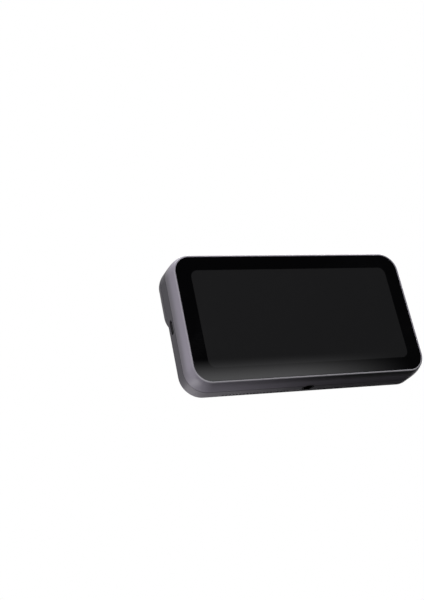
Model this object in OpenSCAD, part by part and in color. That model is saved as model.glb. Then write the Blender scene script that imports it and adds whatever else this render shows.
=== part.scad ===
// Hand-held three-d scanner with a touch display on the back of its sensor head.
// It stands on its flat bottom edge: +Z is up, the sensors look along -Y and the display faces +Y.
// The origin is the centre of the tripod thread's mouth in the bottom face.

/* [Body] */
// Width of the body
body_w = 174.4; // [170:0.2:180]
// Height of the body
body_h = 93; // [90:0.2:98]
// Corner radius of the body
body_r = 14.5; // [13:0.5:17]
// From the tripod thread to the display face
display_reach = 15; // [14.6:0.1:16]
// From the tripod thread to the face of the sensor window
window_reach = 14.2; // [13.8:0.1:15.4]
// Depth of the display bezel
bezel_d = 12; // [11.6:0.1:12.4]
// How far the bezel draws in towards the glass
bezel_draw = 2.8; // [2.4:0.1:2.9]
// Depth of the mid frame's side band
frame_d = 10; // [9.8:0.1:10.4]
// Wall of the mid frame
frame_wall = 3.2; // [2.8:0.1:3.6]
// Web across the mid frame
web_t = 1.5; // [1:0.1:1.8]
// Rounding of the rear edge of the mid frame
rear_round = 0.9; // [0.4:0.1:1]
// Chamfer that makes the seam line between two shells
seam_cut = 0.3; // [0.1:0.05:0.4]

/* [Display] */
// From the body's side to the cover glass
glass_side_margin = 3.3; // [3.2:0.1:3.8]
// From the body's top to the cover glass
glass_end_margin = 3.1; // [3:0.1:3.6]
// Corner radius of the cover glass
glass_r = 11.3; // [10:0.1:12]
// Thickness of the cover glass
glass_t = 1; // [0.7:0.1:1.1]
// From the glass's side to the display panel
panel_side_margin = 7.9; // [6.9:0.1:9.9]
// From the glass's top to the display panel
panel_end_margin = 7.1; // [6.4:0.1:8.9]
// Thickness of the display panel
panel_t = 1.2; // [0.8:0.1:1.2]
// Plate behind the display
plate_t = 1.1; // [0.8:0.1:1.2]

/* [Sensor window] */
// From the body's side to the sensor window
window_side_margin = 2.6; // [2.2:0.1:3.6]
// From the body's top to the sensor window
window_top_margin = 3.1; // [2.6:0.1:4]
// Corner radius of the window
window_r = 10.6; // [9:0.2:12]
// Lowest point of the bowed lower edge, as a share of the body's height
window_low_share = 0.4043; // [0.39:0.001:0.42]
// Slope of the lower edge on each side, in degrees
window_slope = 8.9; // [7:0.1:10]
// Radius that rounds the lower edge at the middle
window_bow = 130; // [90:5:160]
// Thickness of the window glass
window_t = 1.2; // [0.8:0.1:1.3]
// Wall of the head housing
head_wall = 2; // [1.6:0.1:2.2]
// Slope of the lower edge where the head meets the grip, in degrees
foot_slope = 7.7; // [6.5:0.1:8.5]

/* [Grip] */
// How far the grip stands behind the mid frame
grip_rise = 1.6; // [1.2:0.1:2]
// Thickness of the grip cover
grip_t = 1.6; // [1.3:0.1:1.8]
// Width of the rounding at each end of the grip
grip_round = 10; // [7:0.5:13]
// Groove between the grip and the mid frame
grip_groove = 0.8; // [0.5:0.1:1]
// Lip of the mid frame outside the groove
lip_t = 1.2; // [1:0.1:1.4]

/* [Sensors] */
// Height of the camera row, as a share of the body's height
row_share = 0.75806; // [0.745:0.001:0.77]
// Distance between the two stereo cameras, as a share of the body's width
stereo_gap_share = 0.41972; // [0.39:0.001:0.43]
// Diameter of a stereo camera's barrel
stereo_d = 10.5; // [9:0.1:11.5]
// Distance between the innermost infrared lights, as a share of the body's width
led_inner_share = 0.6078; // [0.598:0.001:0.615]
// Spacing of the infrared lights, as a share of the body's width
led_pitch_share = 0.04415; // [0.0405:0.0005:0.0445]
// Diameter of an infrared light
led_d = 4.8; // [4:0.1:5.4]
// Distance between the corner emitters, as a share of the body's width
emitter_gap_share = 0.83257; // [0.82:0.001:0.842]
// From the window's opening to the corner emitters
emitter_gap_above = 0.5; // [0.2:0.05:0.6]
// Diameter of a corner emitter, as a share of the body's height
emitter_d_share = 0.08602; // [0.075:0.0005:0.0865]
// Distance between the two range sensors
range_gap = 11.6; // [9:0.1:14]
// Side of a range sensor
range_side = 5.4; // [4.5:0.1:6]
// Height of the colour camera, as a share of the way from the fill lights to the camera row
color_up_share = 0.37736; // [0.34:0.005:0.4]
// Diameter of the colour camera's barrel
color_d = 7.2; // [6:0.1:8]
// From the window's opening to the fill lights
fill_gap_below = 0.25; // [0.1:0.05:0.4]
// Distance between the fill lights
fill_gap = 7.8; // [6:0.1:9]
// Diameter of a fill light
fill_d = 4.3; // [3.5:0.1:5]
// Width of the pattern projector's window
slot_w = 11.3; // [10:0.1:12.5]
// Height of the pattern projector's window, as a share of its housing's height
slot_h_share = 0.97857; // [0.9:0.005:0.98]

/* [Ports and keys] */
// Width of the socket's mouth
port_w = 8.9; // [8.9:0.1:9.4]
// Height of the socket's mouth
port_h = 3.2; // [3.2:0.1:3.4]
// Depth of the socket
port_d = 7.4; // [6.5:0.1:8]
// Height of the socket's middle, as a share of the body's height
port_share = 0.50753; // [0.48:0.001:0.525]
// Length of the scan key, as a share of the body's height
scan_key_share = 0.12903; // [0.11:0.001:0.14]
// How far the scan key reaches past the start of the body's corner
scan_key_over = 1.9; // [0:0.1:2]
// Length of the power key
power_key_l = 6.8; // [6:0.2:8]
// From the scan key to the power key
key_gap = 3.4; // [2.4:0.1:5]
// Width of a key
key_w = 3.6; // [3:0.1:3.8]
// Travel of a key
key_travel = 0.35; // [0.2:0.05:0.4]
// How far a key stands out of the side
key_proud = 0.3; // [0.1:0.05:0.5]
// Radius of the tripod thread's wall
thread_r = 2.55; // [2.4:0.05:2.6]
// Length of the tripod thread
thread_l = 7; // [6:0.2:8]
// Outer diameter of the threaded insert
insert_d = 8.4; // [7:0.1:8.6]
// Number of cooling slots in the base
slot_count = 12; // [8:1:12]
// Number of speaker holes in the base
hole_count = 20; // [12:1:20]

/* [Inside] */
// Depth of the optical bench, as a share of the room behind the window
bench_t_share = 0.2069; // [0.17:0.005:0.207]
// Diameter of the fan's rotor, as a share of its housing's width
rotor_share = 0.8; // [0.7:0.01:0.82]
// Number of fan blades
blade_count = 15; // [9:1:19]
// Width of the battery, as a share of the body's width
battery_w_share = 0.30963; // [0.26:0.005:0.315]
// Height of the battery, as a share of the body's height
battery_h_share = 0.31183; // [0.24:0.005:0.315]
// Room left behind the battery
battery_play = 0.4; // [0.2:0.1:1.5]
// Number of fins on the heat sink
fin_count = 12; // [6:1:14]

/* [Hidden] */
$fn = 96;

// Colours
col_bezel = [0.55, 0.54, 0.58];
col_shell = [0.36, 0.35, 0.38];
col_grip = [0.44, 0.43, 0.47];
col_black = [0.05, 0.05, 0.06];
col_dark = [0.16, 0.16, 0.17];
col_metal = [0.66, 0.67, 0.69];
col_board = [0.08, 0.3, 0.2];
col_lens = [0.2, 0.24, 0.34];
col_brass = [0.74, 0.6, 0.3];
col_cell = [0.2, 0.22, 0.26];
col_amber = [0.75, 0.7, 0.35];

// Clearances that the fits use
overrun = 1;
seat_gap = 0.15;
air_gap = 0.3;
screw_play = 0.05;
glue_t = 0.3;

// Depth levels, from the display back to the sensor window
y_face = display_reach;
y_seam = y_face - bezel_d;
y_rear = y_seam - frame_d;
y_window = -window_reach;
y_glass = y_face - glass_t;
y_ledge = y_glass - glue_t;
ledge_t = 1.2;
y_plate = y_ledge - ledge_t;
y_plate_back = y_plate - plate_t;
y_web = y_seam;
y_web_back = y_web - web_t;
y_grip_seat = y_rear + grip_t;
y_grip = y_rear - grip_rise;
y_pane = y_window + window_t;
y_pane_seat = y_pane + glue_t;
mid_z = body_h / 2;
side_x = body_w / 2;

// Sizes that follow the body
glass_w = body_w - 2 * glass_side_margin;
glass_h = body_h - 2 * glass_end_margin;
panel_w = glass_w - 2 * panel_side_margin;
panel_h = glass_h - 2 * panel_end_margin;
window_w = body_w - 2 * window_side_margin;
window_top = body_h - window_top_margin;
window_low = body_h * window_low_share;

// Bezel
bezel_wall = 3;
cavity_w = body_w - 2 * bezel_wall;
cavity_h = body_h - 2 * bezel_wall;
cavity_r = body_r - bezel_wall;
ledge_w = 5;
mouth_w = glass_w - 2 * ledge_w;
mouth_h = glass_h - 2 * ledge_w;
mouth_r = glass_r - ledge_w / 2;
panel_r = 6;
profile_steps = 12;

// Boss round the tripod insert, which reaches across the seam into the bezel
boss_wall = 1.1;
boss_r = insert_d / 2 + boss_wall;
insert_floor = 1.5;
boss_cap = 1.5;
insert_l = thread_l + insert_floor;
boss_z = insert_l + boss_cap;

// Mid frame inside
inner_w = body_w - 2 * frame_wall;
inner_h = body_h - 2 * frame_wall;
inner_r = body_r - frame_wall;

// Screws: one size for the whole product
screw_r = 0.95;
screw_head_r = 1.8;
screw_head_t = 0.9;
screw_grip = 3.2;
post_r = 2.6;

// Places of the posts, as shares of the body's width and height
plate_post_shares = [[-0.44, 0.11], [0.44, 0.11], [-0.44, 0.892], [0.44, 0.892], [0.06, 0.9]];
bench_post_shares = [[-0.318, 0.892], [0.318, 0.892], [-0.345, 0.613], [0.345, 0.613]];
board_post_shares = [[-0.38, 0.5], [0.38, 0.5], [-0.38, 0.82], [0.38, 0.82]];

// Places of the sensors
row_z = body_h * row_share;
emitter_d = body_h * emitter_d_share;
upper_z = window_top - 2 * head_wall - emitter_d / 2 - emitter_gap_above;
fill_z = window_low + 2 * head_wall + fill_d / 2 + fill_gap_below;
color_z = fill_z + (row_z - fill_z) * color_up_share;
stereo_gap = body_w * stereo_gap_share;
led_inner_gap = body_w * led_inner_share;
led_pitch = body_w * led_pitch_share;
emitter_gap = body_w * emitter_gap_share;

// Depths in the head, as shares of the room between the web and the window
head_room = y_web_back - y_pane;
bench_back_share = 0.24138;
pad_share = 0.23448;
stereo_depth_share = 0.31724;
projector_depth_share = 0.38621;
color_depth_share = 0.30345;
lens_gap_share = 0.03448;
led_board_t_share = 0.06897;
bench_t = head_room * bench_t_share;
bench_back = y_web_back - head_room * bench_back_share;
bench_front = bench_back - bench_t;
pad_front = bench_front - head_room * pad_share;
stereo_body_d = head_room * stereo_depth_share;
projector_d = head_room * projector_depth_share;
color_body_d = head_room * color_depth_share;
led_board_t = head_room * led_board_t_share;
lens_front = y_pane + head_room * lens_gap_share;

// Lights and cameras
led_board_h_share = 0.09247;
range_board_h_share = 0.07957;
fill_board_h_share = 0.06882;
led_board_h = body_h * led_board_h_share;
range_board_h = body_h * range_board_h_share;
fill_board_h = body_h * fill_board_h_share;
led_edge = 3;
led_count = 4;
stereo_body = 15;
stereo_dome = 0.9;
lens_dome_r = 3.4;
lens_hole_r = 3.6;
slot_line = 1.2;
slot_r = 1.6;
color_body = 9.6;
color_dome = 0.6;
range_board_w = 18.6;
fill_board_w = 14;
mask_t = 0.2;
print_play = 0.3;
projector_w = 20;
projector_gap = 0.2;
projector_h = 2 * (upper_z - range_board_h / 2 - projector_gap - row_z);
slot_h = projector_h * slot_h_share;

// Optical bench
bench_side_margin = 9;
bench_low_share = 0.56989;
bench_top_share = 0.93548;
tongue_w_share = 0.17202;
bench_w = body_w - 2 * bench_side_margin;
bench_low = body_h * bench_low_share;
bench_top = body_h * bench_top_share;
bench_r = 4;
tongue_rim = 0.4;
tongue_w = body_w * tongue_w_share;
tongue_low = fill_z - fill_board_h / 2 - tongue_rim;

// Boards and cells
board_t = 1.2;
board_w_share = 0.81422;
board_low_share = 0.45591;
board_top_share = 0.85591;
board_w = body_w * board_w_share;
board_low = body_h * board_low_share;
board_top = body_h * board_top_share;
board_gap = 1.5;
board_front = y_web + board_gap + board_t;
chip_h = 1.1;
sink_w_share = 0.24083;
sink_low_share = 0.50538;
sink_top_share = 0.78495;
sink_w = body_w * sink_w_share;
sink_low = body_h * sink_low_share;
sink_top = body_h * sink_top_share;
sink_base = 1;
fin_t = 0.8;
battery_x_share = 0.24656;
battery_low_share = 0.18925;
battery_x = body_w * battery_x_share;
battery_w = body_w * battery_w_share;
battery_low = body_h * battery_low_share;
battery_h = body_h * battery_h_share;
battery_t = y_web_back - y_grip_seat - battery_play;
seal_w = 2;

// Fan
fan_x_share = 0.20069;
fan_z_share = 0.27957;
duct_top_share = 0.12903;
inlet_share = 0.3125;
hub_share = 0.175;
blade_arc_share = 0.225;
fan_x = -body_w * fan_x_share;
fan_z = body_h * fan_z_share;
fan_rise = 1;
scroll_rise = 1.8;
fan_low = frame_wall + fan_rise;
fan_w = 2 * (fan_z - fan_low - scroll_rise);
fan_wall = 0.9;
fan_play = 0.2;
duct_gap = 0.8;
fan_back = y_grip_seat + fan_play;
duct_back = y_rear + duct_gap;
duct_top = body_h * duct_top_share;
inlet_r = fan_w * inlet_share;
inlet_lip = 1;
rotor_d = fan_w * rotor_share;
hub_r = fan_w * hub_share;
shaft_r = 1;
bearing_play = 0.05;
blade_t = 0.9;
blade_arc_r = fan_w * blade_arc_share;
rotor_depth = y_web_back - fan_back - 2 * (fan_wall + air_gap);

// Speaker and vents
speaker_w_share = 0.19495;
speaker_x_share = 0.20929;
cool_x_share = 0.19495;
cool_span_share = 0.28899;
cool_slot_share = 0.7381;
hole_span_share = 0.28096;
speaker_gap = 1.1;
speaker_w = body_w * speaker_w_share;
speaker_x = body_w * speaker_x_share;
speaker_low = frame_wall + air_gap;
speaker_top = battery_low - seal_w - speaker_gap;
vent_from_rear = 2.2;
cool_x = -body_w * cool_x_share;
cool_pitch = body_w * cool_span_share / slot_count;
cool_slot_l = cool_pitch * cool_slot_share;
cool_slot_w = 1.3;
hole_pitch = body_w * hole_span_share / hole_count;
hole_r = 0.6;

// Socket and keys
port_wall = 0.35;
port_recess = 0.3;
port_play = 0.3;
port_board_t = 1;
port_board_gap = 0.85;
port_board_share = 1.6;
port_tongue_share = 0.75;
port_z = body_h * port_share;
port_board_x = battery_x + battery_w / 2 + port_board_gap;
scan_key_l = body_h * scan_key_share;
scan_key_z = body_h - body_r + scan_key_over - scan_key_l / 2;
power_key_z = scan_key_z - (scan_key_l + power_key_l) / 2 - key_gap;
port_mid_y = y_web_back - port_board_t - port_h / 2 - port_wall;
key_y = y_rear + frame_d / 2;
key_play = 0.15;
flange_t = 0.6;
flange_more = 1;
nub_l = 0.5;
switch_d = 1.5;
switch_gap = 0.05;
key_board_t = 1;
antenna_l_share = 0.20642;
antenna_d_share = 0.5;
antenna_t = 0.3;

// A slab parallel to the display, drawn in X and Z between two depths
module slab(y_lo, y_hi) {
    translate([0, y_hi, 0]) rotate([90, 0, 0]) linear_extrude(y_hi - y_lo) children();
}

// A rounded rectangle about the middle of the body's height
module rounded(w, h, r, z = mid_z) {
    translate([0, z]) {
        square([w - 2 * r, h], center = true);
        square([w, h - 2 * r], center = true);
        for (sx = [-1, 1], sz = [-1, 1])
            translate([sx * (w / 2 - r), sz * (h / 2 - r)]) circle(r);
    }
}

// A rectangle between two heights
module strip(w, z_lo, z_hi, x = 0) {
    translate([x - w / 2, z_lo]) square([w, z_hi - z_lo]);
}

// A solid whose rounded outline follows a profile: profile x runs out to the side, y runs back
module profiled(w, h, r, profile, depth) {
    linear_extrude(depth) square([w - 2 * r, h - 2 * r], center = true);
    for (k = [0:3]) {
        across = k % 2 == 0 ? w : h;
        along = k % 2 == 0 ? h : w;
        rotate([0, 0, 90 * k]) translate([across / 2 - r, 0, 0]) {
            rotate([90, 0, 0]) linear_extrude(along - 2 * r, center = true) polygon(profile);
            translate([0, along / 2 - r, 0]) rotate_extrude(angle = 90) polygon(profile);
        }
    }
}

function arc(cx, cz, r, from, to, steps) =
    [for (i = [0:steps]) let (a = from + (to - from) * i / steps) [cx + r * cos(a), cz + r * sin(a)]];

// Outline with a flat top, rounded corners and a bowed lower edge, grown outwards by g
function head_outline(half_w, top, r_top, r_low, low, slope, bow, g = 0) =
    let (cx = half_w - r_low,
         cz = cx * tan(slope) + low + bow - (bow - r_low) / cos(slope),
         tx = half_w - r_top,
         tz = top - r_top)
    concat(arc(tx, tz, r_top + g, 0, 90, 8), arc(-tx, tz, r_top + g, 90, 180, 8),
           arc(-cx, cz, r_low + g, 180, 180 + 90 - slope, 8),
           arc(0, low + bow, bow + g, 180 + 90 - slope, 180 + 90 + slope, 8),
           arc(cx, cz, r_low + g, 180 + 90 + slope, 360, 8));

function mix(a, b, t) = a + (b - a) * t;

// The head's outline between its foot (t = 0) and the window's rim (t = 1), grown by g
window_rim = 0.5;
function head_at(t, g = 0) =
    head_outline(mix(side_x, window_w / 2 + window_rim, t), mix(body_h, window_top + window_rim, t),
                 mix(body_r, window_r + window_rim, t), mix(body_r, window_r + window_rim, t),
                 mix(window_low - window_rim * 2, window_low - window_rim, t),
                 mix(foot_slope, window_slope, t), window_bow, g);

function window_outline(g = 0) =
    head_outline(window_w / 2, window_top, window_r, window_r, window_low, window_slope,
                 window_bow, g);

// A screw with its head's back face at the origin and its shank along +Y
module screw(shank = screw_grip) {
    rotate([-90, 0, 0]) cylinder(r = screw_r, h = shank);
    difference() {
        rotate([90, 0, 0]) cylinder(r = screw_head_r, h = screw_head_t);
        translate([0, -screw_head_t / 2, 0]) rotate([90, 0, 0])
            cylinder(r = screw_head_r / 2, h = screw_head_t, $fn = 6);
    }
}

module at_shares(shares) {
    for (s = shares) translate([s[0] * body_w, 0, s[1] * body_h]) children();
}

// A round hole or post along Y between two depths
module along_y(r, y_lo, y_hi) {
    translate([0, y_hi, 0]) rotate([90, 0, 0]) cylinder(r = r, h = y_hi - y_lo);
}

bezel_profile = concat([[0, 0], [body_r - seam_cut, 0]],
    [for (i = [0:profile_steps]) let (a = 90 * i / profile_steps)
        [body_r - bezel_draw * (1 - cos(a)), seam_cut + (bezel_d - seam_cut) * sin(a)]],
    [[0, bezel_d]]);

module front_bezel() {
    color(col_bezel) difference() {
        translate([0, y_seam, mid_z]) rotate([-90, 0, 0])
            profiled(body_w, body_h, body_r, bezel_profile, bezel_d);
        slab(y_seam - overrun, y_plate) rounded(cavity_w, cavity_h, cavity_r);
        slab(y_plate - overrun, y_ledge + overrun) rounded(mouth_w, mouth_h, mouth_r);
        slab(y_ledge, y_face + overrun)
            rounded(glass_w + 2 * seat_gap, glass_h + 2 * seat_gap, glass_r + seat_gap);
        // Notch for the boss of the tripod insert
        translate([0, 0, -overrun]) cylinder(r = boss_r + seat_gap, h = bezel_wall + 2 * overrun);
    }
}

module cover_glass() {
    color(col_black) slab(y_glass, y_face) rounded(glass_w, glass_h, glass_r);
}

module display_gasket() {
    color(col_dark) slab(y_ledge, y_glass) difference() {
        rounded(glass_w - 2 * seat_gap, glass_h - 2 * seat_gap, glass_r - seat_gap);
        rounded(mouth_w, mouth_h, mouth_r);
    }
}

module display_panel() {
    color(col_dark) slab(y_glass - panel_t, y_glass) rounded(panel_w, panel_h, panel_r);
}

// Slot in the plate and the web for the flat cables
cable_w = 14;
cable_t = 0.3;
cable_slot = 1.6;
display_cable_shares = [0.09174, 0.49462];
sensor_cable_shares = [-0.0344, 0.64516];
display_cable_x = body_w * display_cable_shares[0];
display_cable_z = body_h * display_cable_shares[1];
sensor_cable_x = body_w * sensor_cable_shares[0];
sensor_cable_z = body_h * sensor_cable_shares[1];

module display_plate() {
    color(col_metal) difference() {
        union() {
            slab(y_plate_back, y_plate)
                rounded(cavity_w - 2 * air_gap, cavity_h - 2 * air_gap, cavity_r - air_gap);
            at_shares(plate_post_shares) along_y(post_r, y_web, y_plate_back);
        }
        at_shares(plate_post_shares) along_y(screw_r + screw_play, y_web - overrun, y_web + screw_grip);
        slab(y_plate_back - overrun, y_plate + overrun)
            strip(cable_w + 2 * cable_slot, display_cable_z - cable_slot,
                  display_cable_z + cable_slot, display_cable_x);
        // Lightening windows either side of the cable slot
        for (sx = [-1, 1]) slab(y_plate_back - overrun, y_plate + overrun)
            translate([sx * panel_w / 4, -panel_h / 4]) rounded(panel_w / 3, panel_h / 4, panel_r);
    }
}

module plate_screws() {
    color(col_metal) at_shares(plate_post_shares) translate([0, y_web_back, 0])
        screw(web_t + screw_grip - seat_gap);
}

// Side band of the mid frame, with its rear edge rounded over
frame_profile = concat([[0, 0], [body_r - seam_cut, 0], [body_r, seam_cut]],
    arc(body_r - rear_round, frame_d - rear_round, rear_round, 0, 90, 6), [[0, frame_d]]);

module side_slot(z, len, w, y, sign) {
    translate([sign * (side_x - frame_wall / 2), y, z]) rotate([0, 90, 0])
        linear_extrude(frame_wall + 2 * overrun, center = true) {
            square([len - w, w], center = true);
            for (s = [-1, 1]) translate([s * (len - w) / 2, 0]) circle(w / 2);
        }
}

module base_vents() {
    vent_y = y_rear + vent_from_rear;
    for (i = [0:slot_count - 1])
        translate([cool_x + (i - (slot_count - 1) / 2) * cool_pitch, vent_y, -overrun])
            linear_extrude(frame_wall + 2 * overrun) {
                square([cool_slot_l - cool_slot_w, cool_slot_w], center = true);
                for (s = [-1, 1])
                    translate([s * (cool_slot_l - cool_slot_w) / 2, 0]) circle(cool_slot_w / 2);
            }
    for (i = [0:hole_count - 1])
        translate([speaker_x + (i - (hole_count - 1) / 2) * hole_pitch, vent_y, -overrun])
            cylinder(r = hole_r, h = frame_wall + 2 * overrun, $fn = 24);
}

module mid_frame() {
    color(col_shell) difference() {
        union() {
            difference() {
                translate([0, y_seam, mid_z]) rotate([90, 0, 0])
                    profiled(body_w, body_h, body_r, frame_profile, frame_d);
                slab(y_rear - overrun, y_web_back) rounded(inner_w, inner_h, inner_r);
                slab(y_rear - overrun, y_grip_seat)
                    rounded(body_w - 2 * lip_t, body_h - 2 * lip_t, body_r - lip_t);
            }
            cylinder(r = boss_r, h = boss_z);
            at_shares(bench_post_shares) along_y(post_r, bench_back, y_web_back + overrun / 2);
            at_shares(board_post_shares) along_y(post_r, y_web - overrun / 2, y_web + board_gap);
        }
        translate([0, 0, -overrun]) cylinder(r = insert_d / 2, h = insert_l + overrun);
        at_shares(plate_post_shares)
            along_y(screw_r + 2 * screw_play, y_web_back - overrun, y_web + overrun);
        at_shares(bench_post_shares)
            along_y(screw_r + screw_play, bench_back - overrun, y_web_back + web_t / 2);
        at_shares(board_post_shares)
            along_y(screw_r + screw_play, y_web_back - overrun, y_web + board_gap + overrun);
        // Air inlet of the fan, and the slot of the sensor cable
        translate([fan_x, 0, fan_z]) along_y(inlet_r, y_web_back - overrun, y_web + overrun);
        slab(y_web_back - overrun, y_web + overrun)
            strip(cable_w + 2 * cable_slot, sensor_cable_z - cable_slot,
                  sensor_cable_z + cable_slot, sensor_cable_x);
        base_vents();
        side_slot(port_z, port_w + 2 * (port_wall + port_play), port_h + 2 * (port_wall + port_play),
                  port_mid_y, 1);
        side_slot(scan_key_z, scan_key_l + 2 * key_play, key_w + 2 * key_play, key_y, -1);
        side_slot(power_key_z, power_key_l + 2 * key_play, key_w + 2 * key_play, key_y, -1);
    }
}

module tripod_insert() {
    color(col_metal) difference() {
        cylinder(r = insert_d / 2, h = insert_l);
        translate([0, 0, -overrun]) cylinder(r = thread_r, h = thread_l + overrun);
    }
}

// Region of the head above its foot line, from the front
module above_foot(g = 0) {
    polygon(head_at(0, g));
}

// Grip cover: a lengthwise profile with rounded ends crossed with an upright one
grip_inset = lip_t + grip_groove;
grip_edge_rise = 0.5;
base_round = 2.2;

function crown(half, round_w, y_edge, y_top, steps) =
    concat([for (i = [0:steps]) let (a = 90 * i / steps)
        [half - round_w * (1 - sin(90 - a)), y_edge + (y_top - y_edge) * sin(a)]],
        [for (i = [0:steps]) let (a = 90 - 90 * i / steps)
        [-half + round_w * (1 - sin(90 - a)), y_edge + (y_top - y_edge) * sin(a)]]);

module grip_solid(inset, y_edge, y_top, y_seat) {
    half_w = side_x - inset;
    half_h = mid_z - inset;
    intersection() {
        slab(y_top - overrun, y_seat) rounded(2 * half_w, 2 * half_h, body_r - inset);
        linear_extrude(body_h) polygon(concat([[-half_w, y_seat], [half_w, y_seat]],
            crown(half_w, grip_round, y_edge, y_top, 14)));
        translate([0, 0, mid_z]) rotate([90, 0, 90]) linear_extrude(body_w, center = true)
            polygon([for (p = concat([[-half_h, y_seat], [half_h, y_seat]],
                crown(half_h, base_round, y_edge, y_top, 6))) [p[1], p[0]]]);
    }
}

module grip_cover() {
    color(col_grip) difference() {
        grip_solid(grip_inset, y_rear - grip_edge_rise, y_grip, y_grip_seat);
        grip_solid(grip_inset + grip_t, y_rear + grip_t / 2, y_rear, y_grip_seat + overrun);
        slab(y_grip - overrun, y_grip_seat + overrun) above_foot(seat_gap);
    }
}

// Head housing: lofted from its foot on the mid frame to the rim round the window
loft_steps = 6;
module loft(from_y, to_y, g) {
    hull() for (i = [0:loft_steps]) {
        u = sin(90 * i / loft_steps);
        t = 1 - sqrt(1 - u * u);
        slab(mix(from_y, to_y, u) - skin, mix(from_y, to_y, u)) polygon(head_at(t, g));
    }
}
skin = 0.05;
flange_z = 3;

module head_housing() {
    color(col_shell) difference() {
        union() {
            loft(y_rear, y_window + skin, 0);
            // Spigot that locates the head inside the mid frame's lip
            slab(y_rear - overrun / 2, y_grip_seat) intersection() {
                rounded(body_w - 2 * (lip_t + seat_gap), body_h - 2 * (lip_t + seat_gap),
                        body_r - lip_t - seat_gap);
                above_foot(-seat_gap);
            }
            // Flange behind the top edge of the grip cover
            intersection() {
                grip_solid(grip_inset + grip_t + seat_gap, y_rear + grip_t / 2 + seat_gap, y_rear,
                           y_grip_seat);
                slab(y_rear, y_grip_seat) difference() {
                    above_foot(flange_z);
                    above_foot(-head_wall);
                }
            }
        }
        hull() {
            slab(y_pane_seat + ledge_t, y_pane_seat + ledge_t + skin) polygon(head_at(1, -head_wall));
            slab(y_grip_seat, y_grip_seat + overrun) polygon(head_at(0, -frame_wall));
        }
        slab(y_window - overrun, y_pane_seat) polygon(window_outline(seat_gap));
        slab(y_window, y_grip_seat) polygon(window_outline(-2 * head_wall));
    }
}

module sensor_window() {
    color(col_black) slab(y_window, y_pane) polygon(window_outline());
}

module window_gasket() {
    color(col_dark) slab(y_pane, y_pane_seat) difference() {
        polygon(window_outline());
        polygon(window_outline(-2 * head_wall));
    }
}

// Apertures that the sensors look through
module pair(gap, z) {
    for (sx = [-1, 1]) translate([sx * gap / 2, z]) children();
}

module led_places(side) {
    for (i = [0:led_count - 1])
        translate([side * (led_inner_gap / 2 + i * led_pitch), row_z]) children();
}

module apertures(more) {
    pair(stereo_gap, row_z) circle(stereo_d / 2 + more);
    pair(emitter_gap, upper_z) circle(emitter_d / 2 + more);
    pair(range_gap, upper_z) square(range_side + 2 * more, center = true);
    pair(fill_gap, fill_z) circle(fill_d / 2 + more);
    for (side = [-1, 1]) led_places(side) circle(led_d / 2 + more);
    translate([0, color_z]) circle(color_d / 2 + more);
    rounded(slot_w + 2 * more, slot_h + 2 * more, slot_r, row_z);
}

module window_mask() {
    color(col_black) slab(y_pane, y_pane + mask_t) difference() {
        polygon(window_outline(-2 * head_wall - print_play));
        apertures(0);
    }
}

// Optical bench: a cast plate with a pad under each light board and a pocketed back
led_board_w = (led_count - 1) * led_pitch + 2 * led_edge;
led_board_x = led_inner_gap / 2 + (led_count - 1) * led_pitch / 2;
pocket_d = bench_t / 2;

module optical_bench() {
    color(col_metal) difference() {
        union() {
            slab(bench_front, bench_back) {
                rounded(bench_w, bench_top - bench_low, bench_r, (bench_top + bench_low) / 2);
                strip(tongue_w, tongue_low, bench_low + bench_r);
            }
            for (side = [-1, 1]) slab(pad_front, bench_front)
                strip(led_board_w, row_z - led_board_h / 2, row_z + led_board_h / 2, side * led_board_x);
            slab(pad_front, bench_front) {
                strip(range_board_w, upper_z - range_board_h / 2,
                      upper_z + range_board_h / 2);
                strip(fill_board_w, fill_z - fill_board_h / 2,
                      fill_z + fill_board_h / 2);
            }
        }
        at_shares(bench_post_shares)
            along_y(screw_r + 2 * screw_play, bench_front - overrun, bench_back + overrun);
        // Pockets that lighten the back of the casting between the cameras
        for (side = [-1, 1]) slab(bench_back - pocket_d, bench_back + overrun)
            translate([side * stereo_gap / 2, 0])
                rounded(stereo_body, (bench_top - bench_low) / 2, bench_r / 2, row_z);
    }
}

module bench_screws() {
    color(col_metal) at_shares(bench_post_shares) translate([0, bench_front, 0])
        screw(bench_t + screw_grip);
}

// One stereo camera on the bench: square body, stepped barrel
module stereo_camera(side) {
    body_front = bench_front - stereo_body_d;
    translate([side * stereo_gap / 2, 0, 0]) color(col_dark) difference() {
        union() {
            slab(body_front, bench_front) rounded(stereo_body, stereo_body, bench_r / 2, row_z);
            translate([0, 0, row_z]) {
                along_y(stereo_d / 2, lens_front + ledge_t, body_front);
                along_y(stereo_d / 2 - air_gap, lens_front, lens_front + ledge_t);
            }
        }
        translate([0, 0, row_z]) along_y(lens_hole_r, lens_front - overrun, body_front);
    }
}

// Front element of a stereo camera: a plano-convex lens on the shoulder in the barrel
module stereo_lens(side) {
    ball_r = (lens_dome_r * lens_dome_r + stereo_dome * stereo_dome) / (2 * stereo_dome);
    translate([side * stereo_gap / 2, 0, row_z]) color(col_lens) intersection() {
        along_y(lens_dome_r, lens_front, bench_front - stereo_body_d);
        translate([0, lens_front + air_gap + ball_r, 0]) sphere(ball_r);
    }
}

module left_camera() { stereo_camera(-1); }
module right_camera() { stereo_camera(1); }
module left_lens() { stereo_lens(-1); }
module right_lens() { stereo_lens(1); }

module pattern_projector() {
    color(col_dark) {
        slab(bench_front - projector_d, bench_front)
            rounded(projector_w, projector_h, bench_r / 2, row_z);
        slab(lens_front + ledge_t, bench_front - projector_d)
            rounded(slot_w - 2 * slot_line, slot_h - 2 * slot_line, slot_r / 2, row_z);
    }
}

module projector_frame() {
    color(col_metal) slab(lens_front, bench_front - projector_d) difference() {
        rounded(slot_w, slot_h, slot_r, row_z);
        rounded(slot_w - 2 * slot_line + 2 * screw_play, slot_h - 2 * slot_line + 2 * screw_play,
                slot_r / 2, row_z);
    }
}

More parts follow.
